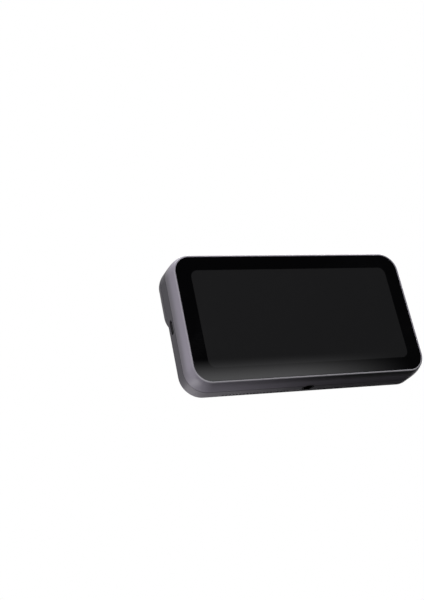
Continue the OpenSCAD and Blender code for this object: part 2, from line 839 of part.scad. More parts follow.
module color_camera() {
    body_front = bench_front - color_body_d;
    color(col_dark) difference() {
        union() {
            slab(body_front, bench_front)
                rounded(color_body, color_body, bench_r / 4, color_z);
            translate([0, 0, color_z]) along_y(color_d / 2, lens_front, body_front);
        }
        translate([0, 0, color_z])
            along_y(color_d / 2 - ledge_t, lens_front - overrun, body_front);
    }
}

module color_lens() {
    lens_r = color_d / 2 - ledge_t - screw_play;
    ball_r = (lens_r * lens_r + color_dome * color_dome) / (2 * color_dome);
    translate([0, 0, color_z]) color(col_lens) intersection() {
        along_y(lens_r, lens_front, bench_front - color_body_d);
        translate([0, lens_front + air_gap + ball_r, 0]) sphere(ball_r);
    }
}

module range_sensor_board() {
    color(col_board) slab(pad_front - led_board_t, pad_front)
        strip(range_board_w, upper_z - range_board_h / 2,
              upper_z + range_board_h / 2);
}

module range_sensors() {
    color(col_dark) difference() {
        slab(lens_front, pad_front - led_board_t)
            pair(range_gap, upper_z) square(range_side, center = true);
        slab(lens_front - overrun, lens_front + ledge_t)
            pair(range_gap, upper_z) circle(range_side / 4);
    }
}

// Two laser emitters in the upper corners: flanged cans with a recessed eye
module corner_emitters() {
    for (sx = [-1, 1]) translate([sx * emitter_gap / 2, 0, upper_z])
        color(col_dark) difference() {
            union() {
                along_y(emitter_d / 2 + air_gap, bench_front - ledge_t, bench_front);
                along_y(emitter_d / 2, lens_front, bench_front - ledge_t);
            }
            along_y(emitter_d / 4, lens_front - overrun, lens_front + ledge_t);
        }
}

module led_board(side) {
    color(col_board) slab(pad_front - led_board_t, pad_front)
        strip(led_board_w, row_z - led_board_h / 2, row_z + led_board_h / 2, side * led_board_x);
}

module left_led_board() { led_board(-1); }
module right_led_board() { led_board(1); }

// A light with a collar and a domed lens, standing on its board at the origin
module domed_light(d) {
    y_board = pad_front - led_board_t;
    dome_base = lens_front + d / 2 * 0.6;
    difference() {
        along_y(d / 2, dome_base, y_board);
        along_y(d / 2 * 0.8, dome_base - overrun, dome_base + d / 8);
    }
    intersection() {
        along_y(d / 2 * 0.7, lens_front, dome_base + d / 8);
        translate([0, lens_front + d / 2, 0]) sphere(d / 2);
    }
}

module infrared_leds() {
    color(col_dark) for (side = [-1, 1], i = [0:led_count - 1])
        translate([side * (led_inner_gap / 2 + i * led_pitch), 0, row_z]) domed_light(led_d);
}

module fill_light_board() {
    color(col_board) slab(pad_front - led_board_t, pad_front)
        strip(fill_board_w, fill_z - fill_board_h / 2, fill_z + fill_board_h / 2);
}

module fill_lights() {
    color(col_amber) for (sx = [-1, 1])
        translate([sx * fill_gap / 2, 0, fill_z]) domed_light(fill_d);
}

// Main board on the display side of the web, with its packages
module main_board() {
    color(col_board) difference() {
        slab(y_web + board_gap, board_front) strip(board_w, board_low, board_top);
        at_shares(board_post_shares)
            along_y(screw_r + 2 * screw_play, y_web, board_front + overrun);
    }
    color(col_dark) {
        slab(board_front, board_front + chip_h) {
            strip(sink_w / 2, (sink_low + sink_top) / 2 - sink_w / 4,
                  (sink_low + sink_top) / 2 + sink_w / 4, fan_x);
            strip(sink_w / 3, sink_low + chip_h, sink_low + sink_w / 4, sink_w / 2);
            strip(sink_w / 3, sink_top - sink_w / 4, sink_top, sink_w / 2);
            strip(sink_w / 5, sink_top - sink_w / 4, sink_top, sink_w);
        }
    }
}

module board_screws() {
    color(col_metal) at_shares(board_post_shares) translate([0, board_front, 0])
        mirror([0, 1, 0]) screw(board_t + board_gap + web_t - seat_gap);
}

module heat_sink() {
    fin_pitch = (sink_w - fin_t) / (fin_count - 1);
    color(col_metal) {
        slab(board_front + chip_h, board_front + chip_h + sink_base)
            strip(sink_w, sink_low, sink_top, fan_x);
        slab(board_front + chip_h, y_plate_back - air_gap) for (i = [0:fin_count - 1])
            strip(fin_t, sink_low, sink_top, fan_x + (i - (fin_count - 1) / 2) * fin_pitch);
    }
}

module battery_pack() {
    color(col_cell) {
        slab(y_web_back - battery_t, y_web_back)
            translate([battery_x, 0]) rounded(battery_w, battery_h, bench_r / 2,
                                              battery_low + battery_h / 2);
        slab(y_web_back - battery_t / 2, y_web_back)
            strip(battery_w - bench_r, battery_low - seal_w, battery_low + bench_r, battery_x);
    }
}

// Blower housing: open towards the slots in the base, with an inlet in its front plate
module fan_housing() {
    color(col_dark) difference() {
        union() {
            slab(fan_back, y_web_back) {
                strip(fan_w, fan_low, fan_z, fan_x);
                translate([fan_x, fan_z]) circle(fan_w / 2);
            }
            slab(duct_back, y_web_back) strip(fan_w, fan_low, duct_top, fan_x);
        }
        slab(fan_back + fan_wall, y_web_back - fan_wall) {
            strip(fan_w - 2 * fan_wall, fan_low - overrun, fan_z, fan_x);
            translate([fan_x, fan_z]) circle(fan_w / 2 - fan_wall);
        }
        slab(duct_back + fan_wall, fan_back + fan_wall + overrun)
            strip(fan_w - 2 * fan_wall, fan_low - overrun, duct_top - fan_wall, fan_x);
        translate([fan_x, 0, fan_z]) {
            along_y(inlet_r - inlet_lip, y_web_back - 2 * fan_wall, y_web_back + overrun);
            along_y(shaft_r + screw_play, fan_back - overrun, fan_back + 2 * fan_wall);
        }
    }
}

module fan_shaft() {
    color(col_metal) translate([fan_x, 0, fan_z])
        along_y(shaft_r, fan_back, y_web_back - fan_wall - air_gap);
}

rotor_back = fan_back + fan_wall + air_gap;
rotor_front = rotor_back + rotor_depth;

module fan_rotor() {
    color(col_black) translate([fan_x, 0, fan_z]) difference() {
        union() {
            along_y(hub_r, rotor_back, rotor_front);
            along_y(rotor_d / 2, rotor_back, rotor_back + fan_wall);
            for (k = [0:blade_count - 1]) rotate([0, 360 * k / blade_count, 0])
                slab(rotor_back, rotor_front - fan_wall) intersection() {
                    translate([0, -blade_arc_r + (rotor_d / 2 - hub_r) / 4]) difference() {
                        circle(blade_arc_r + blade_t / 2);
                        circle(blade_arc_r - blade_t / 2);
                    }
                    difference() {
                        translate([0, -hub_r]) square([rotor_d, rotor_d]);
                        circle(hub_r - blade_t / 2);
                    }
                    circle(rotor_d / 2 - blade_t / 4);
                }
        }
        along_y(shaft_r + bearing_play, rotor_back - overrun, rotor_front + overrun);
    }
}

module speaker() {
    color(col_dark) slab(y_grip_seat, y_web_back) strip(speaker_w, speaker_low, speaker_top, speaker_x);
}

// Socket: a pressed shell round a contact tongue, its mouth just inside the side wall
module usb_port() {
    outer_w = port_w + 2 * port_wall;
    outer_h = port_h + 2 * port_wall;
    mouth_x = side_x - port_recess;
    color(col_metal) translate([mouth_x, port_mid_y, port_z]) rotate([0, -90, 0]) {
        difference() {
            linear_extrude(port_d) pill(outer_w, outer_h);
            translate([0, 0, -overrun]) linear_extrude(port_d + overrun - port_wall * 2)
                pill(port_w, port_h);
        }
        linear_extrude(port_d - port_wall)
            square([port_w * port_tongue_share, port_h / 4], center = true);
    }
}

module pill(w, h) {
    square([w - h, h], center = true);
    for (s = [-1, 1]) translate([s * (w - h) / 2, 0]) circle(h / 2);
}

module port_board() {
    color(col_board) translate([port_board_x, y_web_back - port_board_t,
                                port_z - port_w * port_board_share / 2])
        cube([side_x - frame_wall - seat_gap - port_board_x, port_board_t, port_w * port_board_share]);
}

// A side key: pill-shaped cap, retaining flange and a nub over its switch
inside_x = side_x - frame_wall;
flange_x = inside_x - air_gap;

module side_key(z, len) {
    translate([0, key_y, z]) rotate([0, -90, 0]) {
        translate([0, 0, flange_x]) linear_extrude(side_x + key_proud - flange_x) pill(len, key_w);
        translate([0, 0, flange_x - flange_t]) linear_extrude(flange_t)
            pill(len + flange_more, key_w + flange_more);
        translate([0, 0, flange_x - flange_t - nub_l]) linear_extrude(nub_l) circle(key_w / 4);
    }
}

module scan_button() { color(col_shell) side_key(scan_key_z, scan_key_l); }
module power_button() { color(col_shell) side_key(power_key_z, power_key_l); }

switch_x = flange_x - flange_t - nub_l - key_travel - switch_gap;

module key_switches() {
    color(col_dark) for (z = [scan_key_z, power_key_z])
        translate([-switch_x, key_y - key_w / 2, z - key_w / 2]) cube([switch_d, key_w, key_w]);
}

module key_board() {
    low = power_key_z - power_key_l / 2;
    high = scan_key_z + scan_key_l / 2;
    color(col_board) translate([-switch_x + switch_d, key_y - key_w / 2, low])
        cube([key_board_t, y_web_back - key_y + key_w / 2, high - low]);
}

module wifi_antenna() {
    antenna_l = body_w * antenna_l_share;
    antenna_d = frame_d * antenna_d_share;
    color(col_brass) translate([-antenna_l / 2, y_web_back - antenna_d, body_h - frame_wall - antenna_t])
        cube([antenna_l, antenna_d, antenna_t]);
}

module display_cable() {
    color(col_amber) slab(board_front, y_glass - panel_t)
        strip(cable_w, display_cable_z, display_cable_z + cable_t, display_cable_x);
}

module sensor_cable() {
    color(col_amber) slab(bench_back, y_web + board_gap)
        strip(cable_w, sensor_cable_z, sensor_cable_z + cable_t, sensor_cable_x);
}

front_bezel();
cover_glass();
display_gasket();
display_panel();
display_plate();
plate_screws();
mid_frame();
tripod_insert();
grip_cover();
head_housing();
sensor_window();
window_gasket();
window_mask();
optical_bench();
bench_screws();
left_camera();
right_camera();
left_lens();
right_lens();
pattern_projector();
projector_frame();
color_camera();
color_lens();
range_sensor_board();
range_sensors();
corner_emitters();
left_led_board();
right_led_board();
infrared_leds();
fill_light_board();
fill_lights();
main_board();
board_screws();
heat_sink();
battery_pack();
fan_housing();
fan_shaft();
fan_rotor();
speaker();
usb_port();
port_board();
scan_button();
power_button();
key_switches();
key_board();
wifi_antenna();
display_cable();
sensor_cable();
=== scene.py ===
# %% [markdown]
# # A hand-held three-d scanner
# The real object is a slab a little longer than a hand. One face is a touch display in a deep
# bezel; the other has a raised sensor head with a black window over a plain grip. This lesson
# takes the finished CAD model as a fixed frame and gives it smooth shells, glass, lenses and
# finishes. We load the frame first, because every later piece is placed by it.

# %% Load the frame
import math

import bmesh
import bpy
from mathutils import Matrix, Vector


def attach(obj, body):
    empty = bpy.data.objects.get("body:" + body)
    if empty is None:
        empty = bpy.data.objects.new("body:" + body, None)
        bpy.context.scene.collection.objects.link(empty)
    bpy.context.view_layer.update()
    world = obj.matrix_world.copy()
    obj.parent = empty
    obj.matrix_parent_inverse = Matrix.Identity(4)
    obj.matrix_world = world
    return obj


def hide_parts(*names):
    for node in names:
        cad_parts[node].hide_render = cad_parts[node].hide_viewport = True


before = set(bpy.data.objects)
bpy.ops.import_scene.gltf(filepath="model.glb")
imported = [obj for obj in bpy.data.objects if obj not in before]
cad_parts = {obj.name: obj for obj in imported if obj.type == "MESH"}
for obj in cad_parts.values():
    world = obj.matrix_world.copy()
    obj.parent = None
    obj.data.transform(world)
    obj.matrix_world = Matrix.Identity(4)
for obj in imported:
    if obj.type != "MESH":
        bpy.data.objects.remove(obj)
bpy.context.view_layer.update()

# %% [markdown]
# ## The camera
# The photograph looks up at the scanner from below, on the display side. A camera can be aimed
# by eye, but here its place and its three directions were worked out from the outline in the
# photograph, so they are written down as they came out: where it stands, what is to the right,
# what is down and what is ahead. Blender's camera looks along its own -Z with +Y up, so two of
# the directions turn round.

# %% Set up the camera
MM = 0.001
CAMERA_PLACE = Vector((0.3191, 0.5566, -0.1898))
TO_THE_RIGHT = Vector((-0.9182, 0.34785, -0.18948))
DOWN = Vector((0.025, -0.42651, -0.90414))
AHEAD = Vector((-0.39532, -0.83492, 0.38292))
IMAGE_HEIGHT = 600
FOCAL_PIXELS = 1005.0
SENSOR_MM = 36.0

bpy.ops.object.camera_add(location=CAMERA_PLACE)
camera = bpy.context.object
camera.name = "photo_camera"
turn = Matrix((TO_THE_RIGHT, -DOWN, -AHEAD)).transposed().to_4x4()
camera.matrix_world = Matrix.Translation(CAMERA_PLACE) @ turn
camera.data.sensor_fit = "VERTICAL"
camera.data.sensor_height = SENSOR_MM
camera.data.lens = FOCAL_PIXELS / IMAGE_HEIGHT * SENSOR_MM
camera.data.clip_start = 0.01
bpy.context.scene.camera = camera
bpy.context.scene.view_settings.view_transform = "Standard"
AIM = Vector((0, 0, 0.05))
print("camera stands", round((CAMERA_PLACE - AIM).length, 3), "m from the scanner")

# %% [markdown]
# ## Light and floor
# A product photograph has a white ground and soft light from one side. Lamps that burn out the
# floor would spoil every colour, so the white is what the camera sees of the world, while little
# of it falls on the object. Gloss sees the white world too, so the black glass is kept black by
# a low specular level, as if it were coated.
# The camera here looks up from under the floor. So the floor shows only to rays that come from
# above, and lets all others through. Short helpers that make and link shader nodes come first.


# %% Helpers: shader nodes
def feed(tree, receiver, sources):
    """Links a node's sockets, known by name or number, or sets them to plain values."""
    for socket, source in sources.items():
        if isinstance(source, bpy.types.NodeSocket):
            tree.links.new(source, receiver.inputs[socket])
        else:
            receiver.inputs[socket].default_value = source


def node(tree, kind, sources=None, **settings):
    new = tree.nodes.new(kind)
    for label, value in settings.items():
        setattr(new, label, value)
    feed(tree, new, sources or {})
    return new


def calc(tree, operation, *sources, **settings):
    """The result of a Math node."""
    sources = dict(enumerate(sources))
    return node(tree, "ShaderNodeMath", sources, operation=operation, **settings).outputs[0]


def mixed(tree, share, first, second):
    """A colour between two others."""
    return node(tree, "ShaderNodeMix", {0: share, 6: first, 7: second},
                data_type="RGBA").outputs[2]


def length_of(tree, vector):
    return node(tree, "ShaderNodeVectorMath", {0: vector}, operation="LENGTH").outputs["Value"]


def object_place(tree):
    return node(tree, "ShaderNodeTexCoord").outputs["Object"]


def new_finish(name):
    """A material, its node tree and its shader."""
    finish = bpy.data.materials.new(name)
    finish.use_nodes = True
    return finish, finish.node_tree, finish.node_tree.nodes["Principled BSDF"]


def seen_directly(tree):
    """A value that is 1 for the camera and for what shows in gloss or through glass."""
    path = node(tree, "ShaderNodeLightPath").outputs
    either = calc(tree, "MAXIMUM", path["Is Camera Ray"], path["Is Glossy Ray"])
    return calc(tree, "MAXIMUM", either, path["Is Transmission Ray"])


# %% World and lamps
SKY_LIGHT = 0.05
world = bpy.data.worlds.new("studio")
bpy.context.scene.world = world
world.use_nodes = True
sky = world.node_tree
strength = node(sky, "ShaderNodeMapRange",
                {"Value": seen_directly(sky), "To Min": SKY_LIGHT, "To Max": 1.0})
feed(sky, sky.nodes["Background"],
     {"Color": (1, 1, 1, 1), "Strength": strength.outputs["Result"]})


def add_lamp(name, place, watts, size):
    """A square soft light that points at the scanner."""
    bpy.ops.object.light_add(type="AREA", location=place)
    lamp = bpy.context.object
    lamp.name = name
    lamp.rotation_euler = (AIM - Vector(place)).to_track_quat("-Z", "Y").to_euler()
    lamp.data.energy = watts
    lamp.data.size = size


add_lamp("display_side_lamp", (0.75, 1.1, 0.45), 18.0, 0.6)
add_lamp("sensor_side_lamp", (-0.75, -1.05, 0.6), 23.0, 0.7)
add_lamp("top_lamp", (0.1, -0.25, 1.4), 16.0, 0.8)
add_lamp("low_lamp", (0.16, -0.08, -0.075), 0.18, 0.08)

# %% [markdown]
# The floor is one plane, a hair below the scanner so that the two faces don't fight. Its
# material mixes a pale matte surface with a transparent one. The mix is worked out from Light
# Path, from Backfacing, which is 1 where a ray meets the plane from below, and from the distance
# to the scanner, so that the floor fades into the white of the world.

# %% Floor
FLOOR_GAP = 0.4 * MM
FADE_FROM, FADE_TO = 0.2, 0.7
bpy.ops.mesh.primitive_plane_add(size=8, location=(0, 0, -FLOOR_GAP))
floor = bpy.context.object
floor.name = "floor"
floor_finish, tree, shader = new_finish("pale_floor")
tree.nodes.remove(shader)
paper = mixed(tree, node(tree, "ShaderNodeTexNoise").outputs["Fac"],
              (0.90, 0.90, 0.90, 1), (0.92, 0.92, 0.92, 1))
matte = node(tree, "ShaderNodeBsdfDiffuse", {"Color": paper})
clear = node(tree, "ShaderNodeBsdfTransparent")
from_below = node(tree, "ShaderNodeNewGeometry").outputs["Backfacing"]
from_above = calc(tree, "SUBTRACT", seen_directly(tree), from_below, use_clamp=True)
fade = node(tree, "ShaderNodeMapRange",
            {"Value": length_of(tree, object_place(tree)), "From Min": FADE_FROM,
             "From Max": FADE_TO, "To Min": 1.0, "To Max": 0.0},
            interpolation_type="SMOOTHSTEP")
shown = calc(tree, "MULTIPLY", from_above, fade.outputs["Result"])
mix = node(tree, "ShaderNodeMixShader", {0: shown, 1: clear.outputs[0], 2: matte.outputs[0]})
feed(tree, tree.nodes["Material Output"], {"Surface": mix.outputs[0]})
floor.data.materials.append(floor_finish)
print("floor", round(floor.dimensions.x, 1), "m wide")

# %% [markdown]
# ## The modelling tools of this lesson
# Every shell of this scanner is a rounded outline whose size changes with depth. That could be
# boxed out with bevels, but a bevel can't follow an elliptic section. So each piece is skinned:
# a circle primitive is added and its points are moved to the first outline, then the ring is
# extruded and the new ring is moved to the next outline, and so on. Extruding keeps each point
# tied to its neighbour, where bridging loose rings could twist them.


# %% Helpers: selecting, skinning and smoothing
def pick_only(*pieces):
    """Leaves edit mode, and selects nothing but these pieces."""
    if bpy.context.object and bpy.context.object.mode != "OBJECT":
        bpy.ops.object.mode_set(mode="OBJECT")
    bpy.ops.object.select_all(action="DESELECT")
    for piece in pieces:
        piece.select_set(True)
        bpy.context.view_layer.objects.active = piece


def pick_points(mesh, wanted):
    """In edit mode, selects the points whose numbers are wanted."""
    shape = bmesh.from_edit_mesh(mesh)
    shape.verts.ensure_lookup_table()
    for vertex in shape.verts:
        vertex.select = False
    shape.select_flush(False)
    for number in wanted:
        shape.verts[number].select = True
    shape.select_flush(True)
    bmesh.update_edit_mesh(mesh)


def grow_ring(mesh, ring):
    """Extrudes a ring of points and gives the new points' numbers, in the same order."""
    pick_points(mesh, ring)
    bpy.ops.mesh.extrude_region()
    shape = bmesh.from_edit_mesh(mesh)
    shape.verts.ensure_lookup_table()
    grown = []
    for number in ring:
        ends = [edge.other_vert(shape.verts[number]) for edge in shape.verts[number].link_edges]
        grown.append(next(end.index for end in ends if end.select))
    return grown


def skin(name, rings, closed=False):
    """Extrudes a circle from outline to outline, given in mm, into a smooth closed piece."""
    pick_only()
    bpy.ops.mesh.primitive_circle_add(vertices=len(rings[0]))
    piece = bpy.context.object
    piece.name = name
    bpy.ops.object.mode_set(mode="EDIT")
    first = numbers = list(range(len(rings[0])))
    for k, outline in enumerate(rings + rings[:1] if closed else rings):
        if k:
            numbers = grow_ring(piece.data, numbers)
        shape = bmesh.from_edit_mesh(piece.data)
        shape.verts.ensure_lookup_table()
        for number, place in zip(numbers, outline):
            shape.verts[number].co = Vector(place) * MM
        bmesh.update_edit_mesh(piece.data)
    if not closed:
        for ring in (first, numbers):
            pick_points(piece.data, ring)
            bpy.ops.mesh.edge_face_add()
    bpy.ops.mesh.select_all(action="SELECT")
    bpy.ops.mesh.remove_doubles(threshold=0.0005 * MM)
    bpy.ops.mesh.normals_make_consistent(inside=False)
    bpy.ops.object.mode_set(mode="OBJECT")
    put_at_origin(piece)
    smooth(piece)
    return piece


def put_at_origin(piece):
    """Moves a piece's place into its mesh."""
    pick_only(piece)
    bpy.ops.object.transform_apply(location=True, rotation=True, scale=True)


def smooth(piece):
    """Smooth shading up to an angle of 30 degrees, with flat faces kept flat."""
    pick_only(piece)
    bpy.ops.object.shade_smooth_by_angle(angle=math.radians(30))
    bpy.ops.object.modifier_add(type="WEIGHTED_NORMAL")
    piece.modifiers[-1].keep_sharp = True
    bpy.ops.object.modifier_apply(modifier=piece.modifiers[-1].name)

# %% [markdown]
# Not everything is skinned. Plain solids are cut out of the shells or joined to other pieces,
# and a box gets its edges bevelled before it is joined.


# %% Helpers: solids, bevels, joins and cuts
def cylinder(radius, depth, place=(0, 0, 0), vertices=64, **more):
    pick_only()
    bpy.ops.mesh.primitive_cylinder_add(vertices=vertices, radius=radius * MM, depth=depth * MM,
                                        location=[c * MM for c in place], **more)
    return bpy.context.object


def box(size, place):
    pick_only()
    bpy.ops.mesh.primitive_cube_add(size=1, location=[c * MM for c in place])
    block = bpy.context.object
    block.scale = Vector(size) * MM
    put_at_origin(block)
    return block


def bevel_edges(piece, offset, segments, along=None):
    """Bevels every edge, or those that run along one direction."""
    bpy.ops.object.mode_set(mode="EDIT")
    bpy.ops.mesh.select_all(action="SELECT")
    if along:
        shape = bmesh.from_edit_mesh(piece.data)
        for edge in shape.edges:
            way = (edge.verts[1].co - edge.verts[0].co).normalized()
            edge.select_set(abs(way.dot(along)) > 0.9)
        bmesh.update_edit_mesh(piece.data)
    bpy.ops.mesh.bevel(offset=offset * MM, segments=segments, affect="EDGES")
    bpy.ops.object.mode_set(mode="OBJECT")


def join_as(name, *parts):
    """Joins parts into the last of them."""
    pick_only(*parts)
    bpy.ops.object.join()
    whole = bpy.context.object
    whole.name = name
    return whole


def carve(piece, tool, how="DIFFERENCE"):
    """Cuts a tool out of a piece, or joins it on, and throws the tool away."""
    pick_only(piece)
    bpy.ops.object.modifier_add(type="BOOLEAN")
    boolean = piece.modifiers[-1]
    boolean.operation = how
    boolean.object = tool
    boolean.solver = "MANIFOLD"
    bpy.ops.object.modifier_apply(modifier=boolean.name)
    bpy.data.objects.remove(tool)


def describe(*pieces):
    for piece in pieces:
        size = " x ".join(f"{1000 * s:.1f}" for s in piece.dimensions)
        print(f"{piece.name}: {size} mm, {len(piece.data.polygons)} faces")


# %% [markdown]
# An outline is a list of points in X and Z. The body's is a rounded rectangle. The head's has a
# flat top and a lower edge of two slopes that a wide arc joins, and it can be grown or shrunk.
# Both always give the same number of points, so that any two outlines of a kind can be joined.

# %% Helpers: outlines
BODY_W, BODY_H, BODY_R = 174.4, 93.0, 14.5
HALF_W, HALF_H = BODY_W / 2, BODY_H / 2
CORNER_STEPS = 14


def arc(cx, cz, radius, start, end, steps=CORNER_STEPS):
    turn_by = [math.radians(start + (end - start) * i / steps) for i in range(steps + 1)]
    return [(cx + radius * math.cos(a), cz + radius * math.sin(a)) for a in turn_by]


def rounded(half_w, half_h, radius):
    x, z = half_w - radius, half_h - radius
    points = []
    for cx, cz, start in ((x, z, 0), (-x, z, 90), (-x, -z, 180), (x, -z, 270)):
        points += arc(cx, HALF_H + cz, radius, start, start + 90)
    return points


def bowed(half_w, top, radius, low, slope, bow, grow=0.0):
    tilt = math.radians(slope)
    cx = half_w - radius
    cz = cx * math.tan(tilt) + low + bow - (bow - radius) / math.cos(tilt)
    tz = top - radius
    r = radius + grow
    return (arc(cx, tz, r, 0, 90) + arc(-cx, tz, r, 90, 180) + arc(-cx, cz, r, 180, 270 - slope)
            + arc(0, low + bow, bow + grow, 270 - slope, 270 + slope)
            + arc(cx, cz, r, 270 + slope, 360))


def at_depth(outline, y):
    return [(x, y, z) for x, z in outline]


def full_turn(steps):
    turn_by = [2 * math.pi * i / steps for i in range(steps)]
    return [(math.cos(a), math.sin(a)) for a in turn_by]


def quarter_turn(steps):
    """Pairs along a quarter circle: how far it has drawn in, and how far it has risen."""
    turn_by = [math.radians(90 * i / steps) for i in range(steps + 1)]
    return [(1 - math.cos(a), math.sin(a)) for a in turn_by]


# %% [markdown]
# ## The display bezel
# The bezel is one deep ring. Its outside swings over from the side to the glass on a quarter of
# an ellipse, which gives the broad soft highlight along the left in the photograph. We list its
# section from the seam forward, over the rim, down into the recess for the glass, and back
# through the inside to where it began, and let the skin close on itself.

# %% Make the bezel
Y_FACE, Y_SEAM, Y_REAR, Y_WINDOW = 15.0, 3.0, -7.0, -14.2
Y_SEAT = Y_REAR + 1.6
SEAM_CUT = 0.3
DRAW_IN = 2.8
GLASS_HALF_W, GLASS_HALF_H, GLASS_R = 83.9, 43.4, 11.3
GLASS_PLAY = 0.15
Y_RECESS, Y_LEDGE = Y_FACE - 1.3, Y_FACE - 2.5
LEDGE_W, BEZEL_WALL = 5.0, 3.0
BOSS_R, BOSS_PLAY = 5.3, 0.15


def body_ring(inset, y):
    return at_depth(rounded(HALF_W - inset, HALF_H - inset, BODY_R - inset), y)


def glass_ring(grow, y):
    return at_depth(rounded(GLASS_HALF_W + grow, GLASS_HALF_H + grow, GLASS_R + grow), y)


start = Y_SEAM + SEAM_CUT
bezel_rings = [body_ring(SEAM_CUT, Y_SEAM)]
bezel_rings += [body_ring(DRAW_IN * drawn, start + (Y_FACE - start) * risen)
                for drawn, risen in quarter_turn(18)]
bezel_rings += [
    glass_ring(GLASS_PLAY, Y_FACE - 0.06), glass_ring(GLASS_PLAY, Y_RECESS),
    glass_ring(-LEDGE_W, Y_RECESS), glass_ring(-LEDGE_W, Y_LEDGE),
    body_ring(BEZEL_WALL, Y_LEDGE), body_ring(BEZEL_WALL, Y_SEAM)]
bezel = skin("bezel_shell", bezel_rings, closed=True)
carve(bezel, cylinder(BOSS_R + BOSS_PLAY, 6))
smooth(bezel)
describe(bezel)

# %% [markdown]
# ## The cover glass
# Display glass has a softly ground edge. Three narrow rings at the front make that rounding, and
# it is what draws the thin bright line round the display.

# %% Make the cover glass
GROUND_EDGE = [(-0.07, 0.12), (-0.2, 0.03), (-0.4, 0.0)]
cover_edge = [(0, 1.0), (0, 0.3)] + GROUND_EDGE
cover = skin("display_glass", [glass_ring(grow, Y_FACE - depth) for grow, depth in cover_edge])
describe(cover)

# %% [markdown]
# ## The middle band
# Behind the bezel runs a band with a web across it, which carries everything inside. It is
# skinned like the bezel. Then the openings are cut with booleans, because slots and holes that
# go through a finished wall are quickest that way: air slots and speaker holes in the base, the
# socket's slot on one side and the two keys' slots on the other.

# %% Make the band
BAND_ROUND, LIP_W, BAND_WALL, Y_WEB = 0.9, 1.2, 3.2, 1.5
band_rings = [body_ring(SEAM_CUT, Y_SEAM), body_ring(0, Y_SEAM - SEAM_CUT)]
band_rings += [body_ring(BAND_ROUND * drawn, Y_REAR + BAND_ROUND - BAND_ROUND * risen)
               for drawn, risen in quarter_turn(6)]
band_rings += [body_ring(LIP_W, Y_REAR), body_ring(LIP_W, Y_SEAT),
               body_ring(BAND_WALL, Y_SEAT), body_ring(BAND_WALL, Y_WEB)]
band = skin("middle_band", band_rings)
carve(band, cylinder(BOSS_R, 10, (0, 0, 5)), "UNION")
describe(band)

# %% Cut the band's openings
CUT_DEPTH = 12
VENT_L, VENT_W, VENT_Y = 3.1, 1.3, Y_REAR + 2.4
HOLE_R, HOLE_STRETCH, HOLE_Y = 0.7, 1.5, VENT_Y + 0.2
PORT_L, PORT_W, PORT_Y, PORT_Z = 10.2, 4.5, -1.45, 47.2
KEY_W, KEY_Y, KEY_PLAY = 3.6, -2.0, 0.3
SCAN_L, SCAN_Z, POWER_L, POWER_Z = 12.0, 74.4, 6.8, 61.6
INSERT_R = 4.2
FAN_X, FAN_Z, FAN_R = -35, 26, 12.5


def row(count, middle, pitch):
    return [middle + (i - (count - 1) / 2) * pitch for i in range(count)]


def slot_tool(size, across, place):
    """A pill-shaped cutter: a box with the four edges that run across it bevelled round."""
    tool = box(size, (0, 0, 0))
    bevel_edges(tool, 0.499 * size[1], 8, Vector(across))
    tool.location = Vector(place) * MM
    put_at_origin(tool)
    return tool


def side_slot(length, width, x, y, z):
    return slot_tool((CUT_DEPTH, width, length), (1, 0, 0), (x, y, z))


tools = [slot_tool((VENT_L, VENT_W, CUT_DEPTH), (0, 0, 1), (x, VENT_Y, 0))
         for x in row(12, -34, 4.2)]
tools += [cylinder(HOLE_R, CUT_DEPTH, (x, HOLE_Y, 0), 20, scale=(1, HOLE_STRETCH, 1))
          for x in row(20, 36.5, 2.45)]
tools += [side_slot(PORT_L, PORT_W, HALF_W, PORT_Y, PORT_Z),
          side_slot(SCAN_L + KEY_PLAY, KEY_W + KEY_PLAY, -HALF_W, KEY_Y, SCAN_Z),
          side_slot(POWER_L + KEY_PLAY, KEY_W + KEY_PLAY, -HALF_W, KEY_Y, POWER_Z)]
carve(band, join_as("opening_tools", *tools))
carve(band, cylinder(INSERT_R, 17))
carve(band, cylinder(FAN_R, 20, (FAN_X, 0, FAN_Z), rotation=(math.pi / 2, 0, 0)))
smooth(band)
describe(band)

# %% [markdown]
# ## The thread in the base
# A tripod thread is a helix. The Screw modifier makes one by sweeping a small section round an
# axis while it climbs, one pitch a turn. The section is closed, so each turn is a solid ridge,
# and the two ends are filled afterwards. A turned sleeve with a lead-in goes round it.

# %% Make the threaded insert
SLEEVE = [(INSERT_R, 8.5), (INSERT_R, 0.25), (3.95, 0.0), (3.45, 0.0), (3.18, 0.35),
          (3.18, 7.4), (0.3, 8.0)]
sleeve_rings = [[(radius * c, radius * s, z) for c, s in full_turn(64)] for radius, z in SLEEVE]
insert = skin("thread_insert", sleeve_rings)
PITCH, TURNS, THREAD_START = 1.27, 5, 0.2
TOOTH = [(3.30, 0.12), (3.16, 0.12), (2.62, 0.53), (2.62, 0.68), (3.16, 1.15), (3.30, 1.15)]
pick_only()
bpy.ops.mesh.primitive_circle_add(vertices=len(TOOTH))
ridge = bpy.context.object
for vertex, (radius, z) in zip(ridge.data.vertices, TOOTH):
    vertex.co = Vector((radius, 0, z + THREAD_START)) * MM
bpy.ops.object.modifier_add(type="SCREW")
screw = ridge.modifiers[-1]
screw.axis = "Z"
screw.screw_offset = PITCH * MM
screw.iterations = TURNS
screw.steps = screw.render_steps = 40
screw.use_merge_vertices = False
bpy.ops.object.modifier_apply(modifier=screw.name)
bpy.ops.object.mode_set(mode="EDIT")
bpy.ops.mesh.select_all(action="SELECT")
bpy.ops.mesh.remove_doubles(threshold=0.001 * MM)
bpy.ops.mesh.fill_holes(sides=len(TOOTH))
bpy.ops.mesh.normals_make_consistent(inside=False)
bpy.ops.object.mode_set(mode="OBJECT")
put_at_origin(ridge)
insert = join_as("thread_insert", ridge, insert)
smooth(insert)
describe(insert)

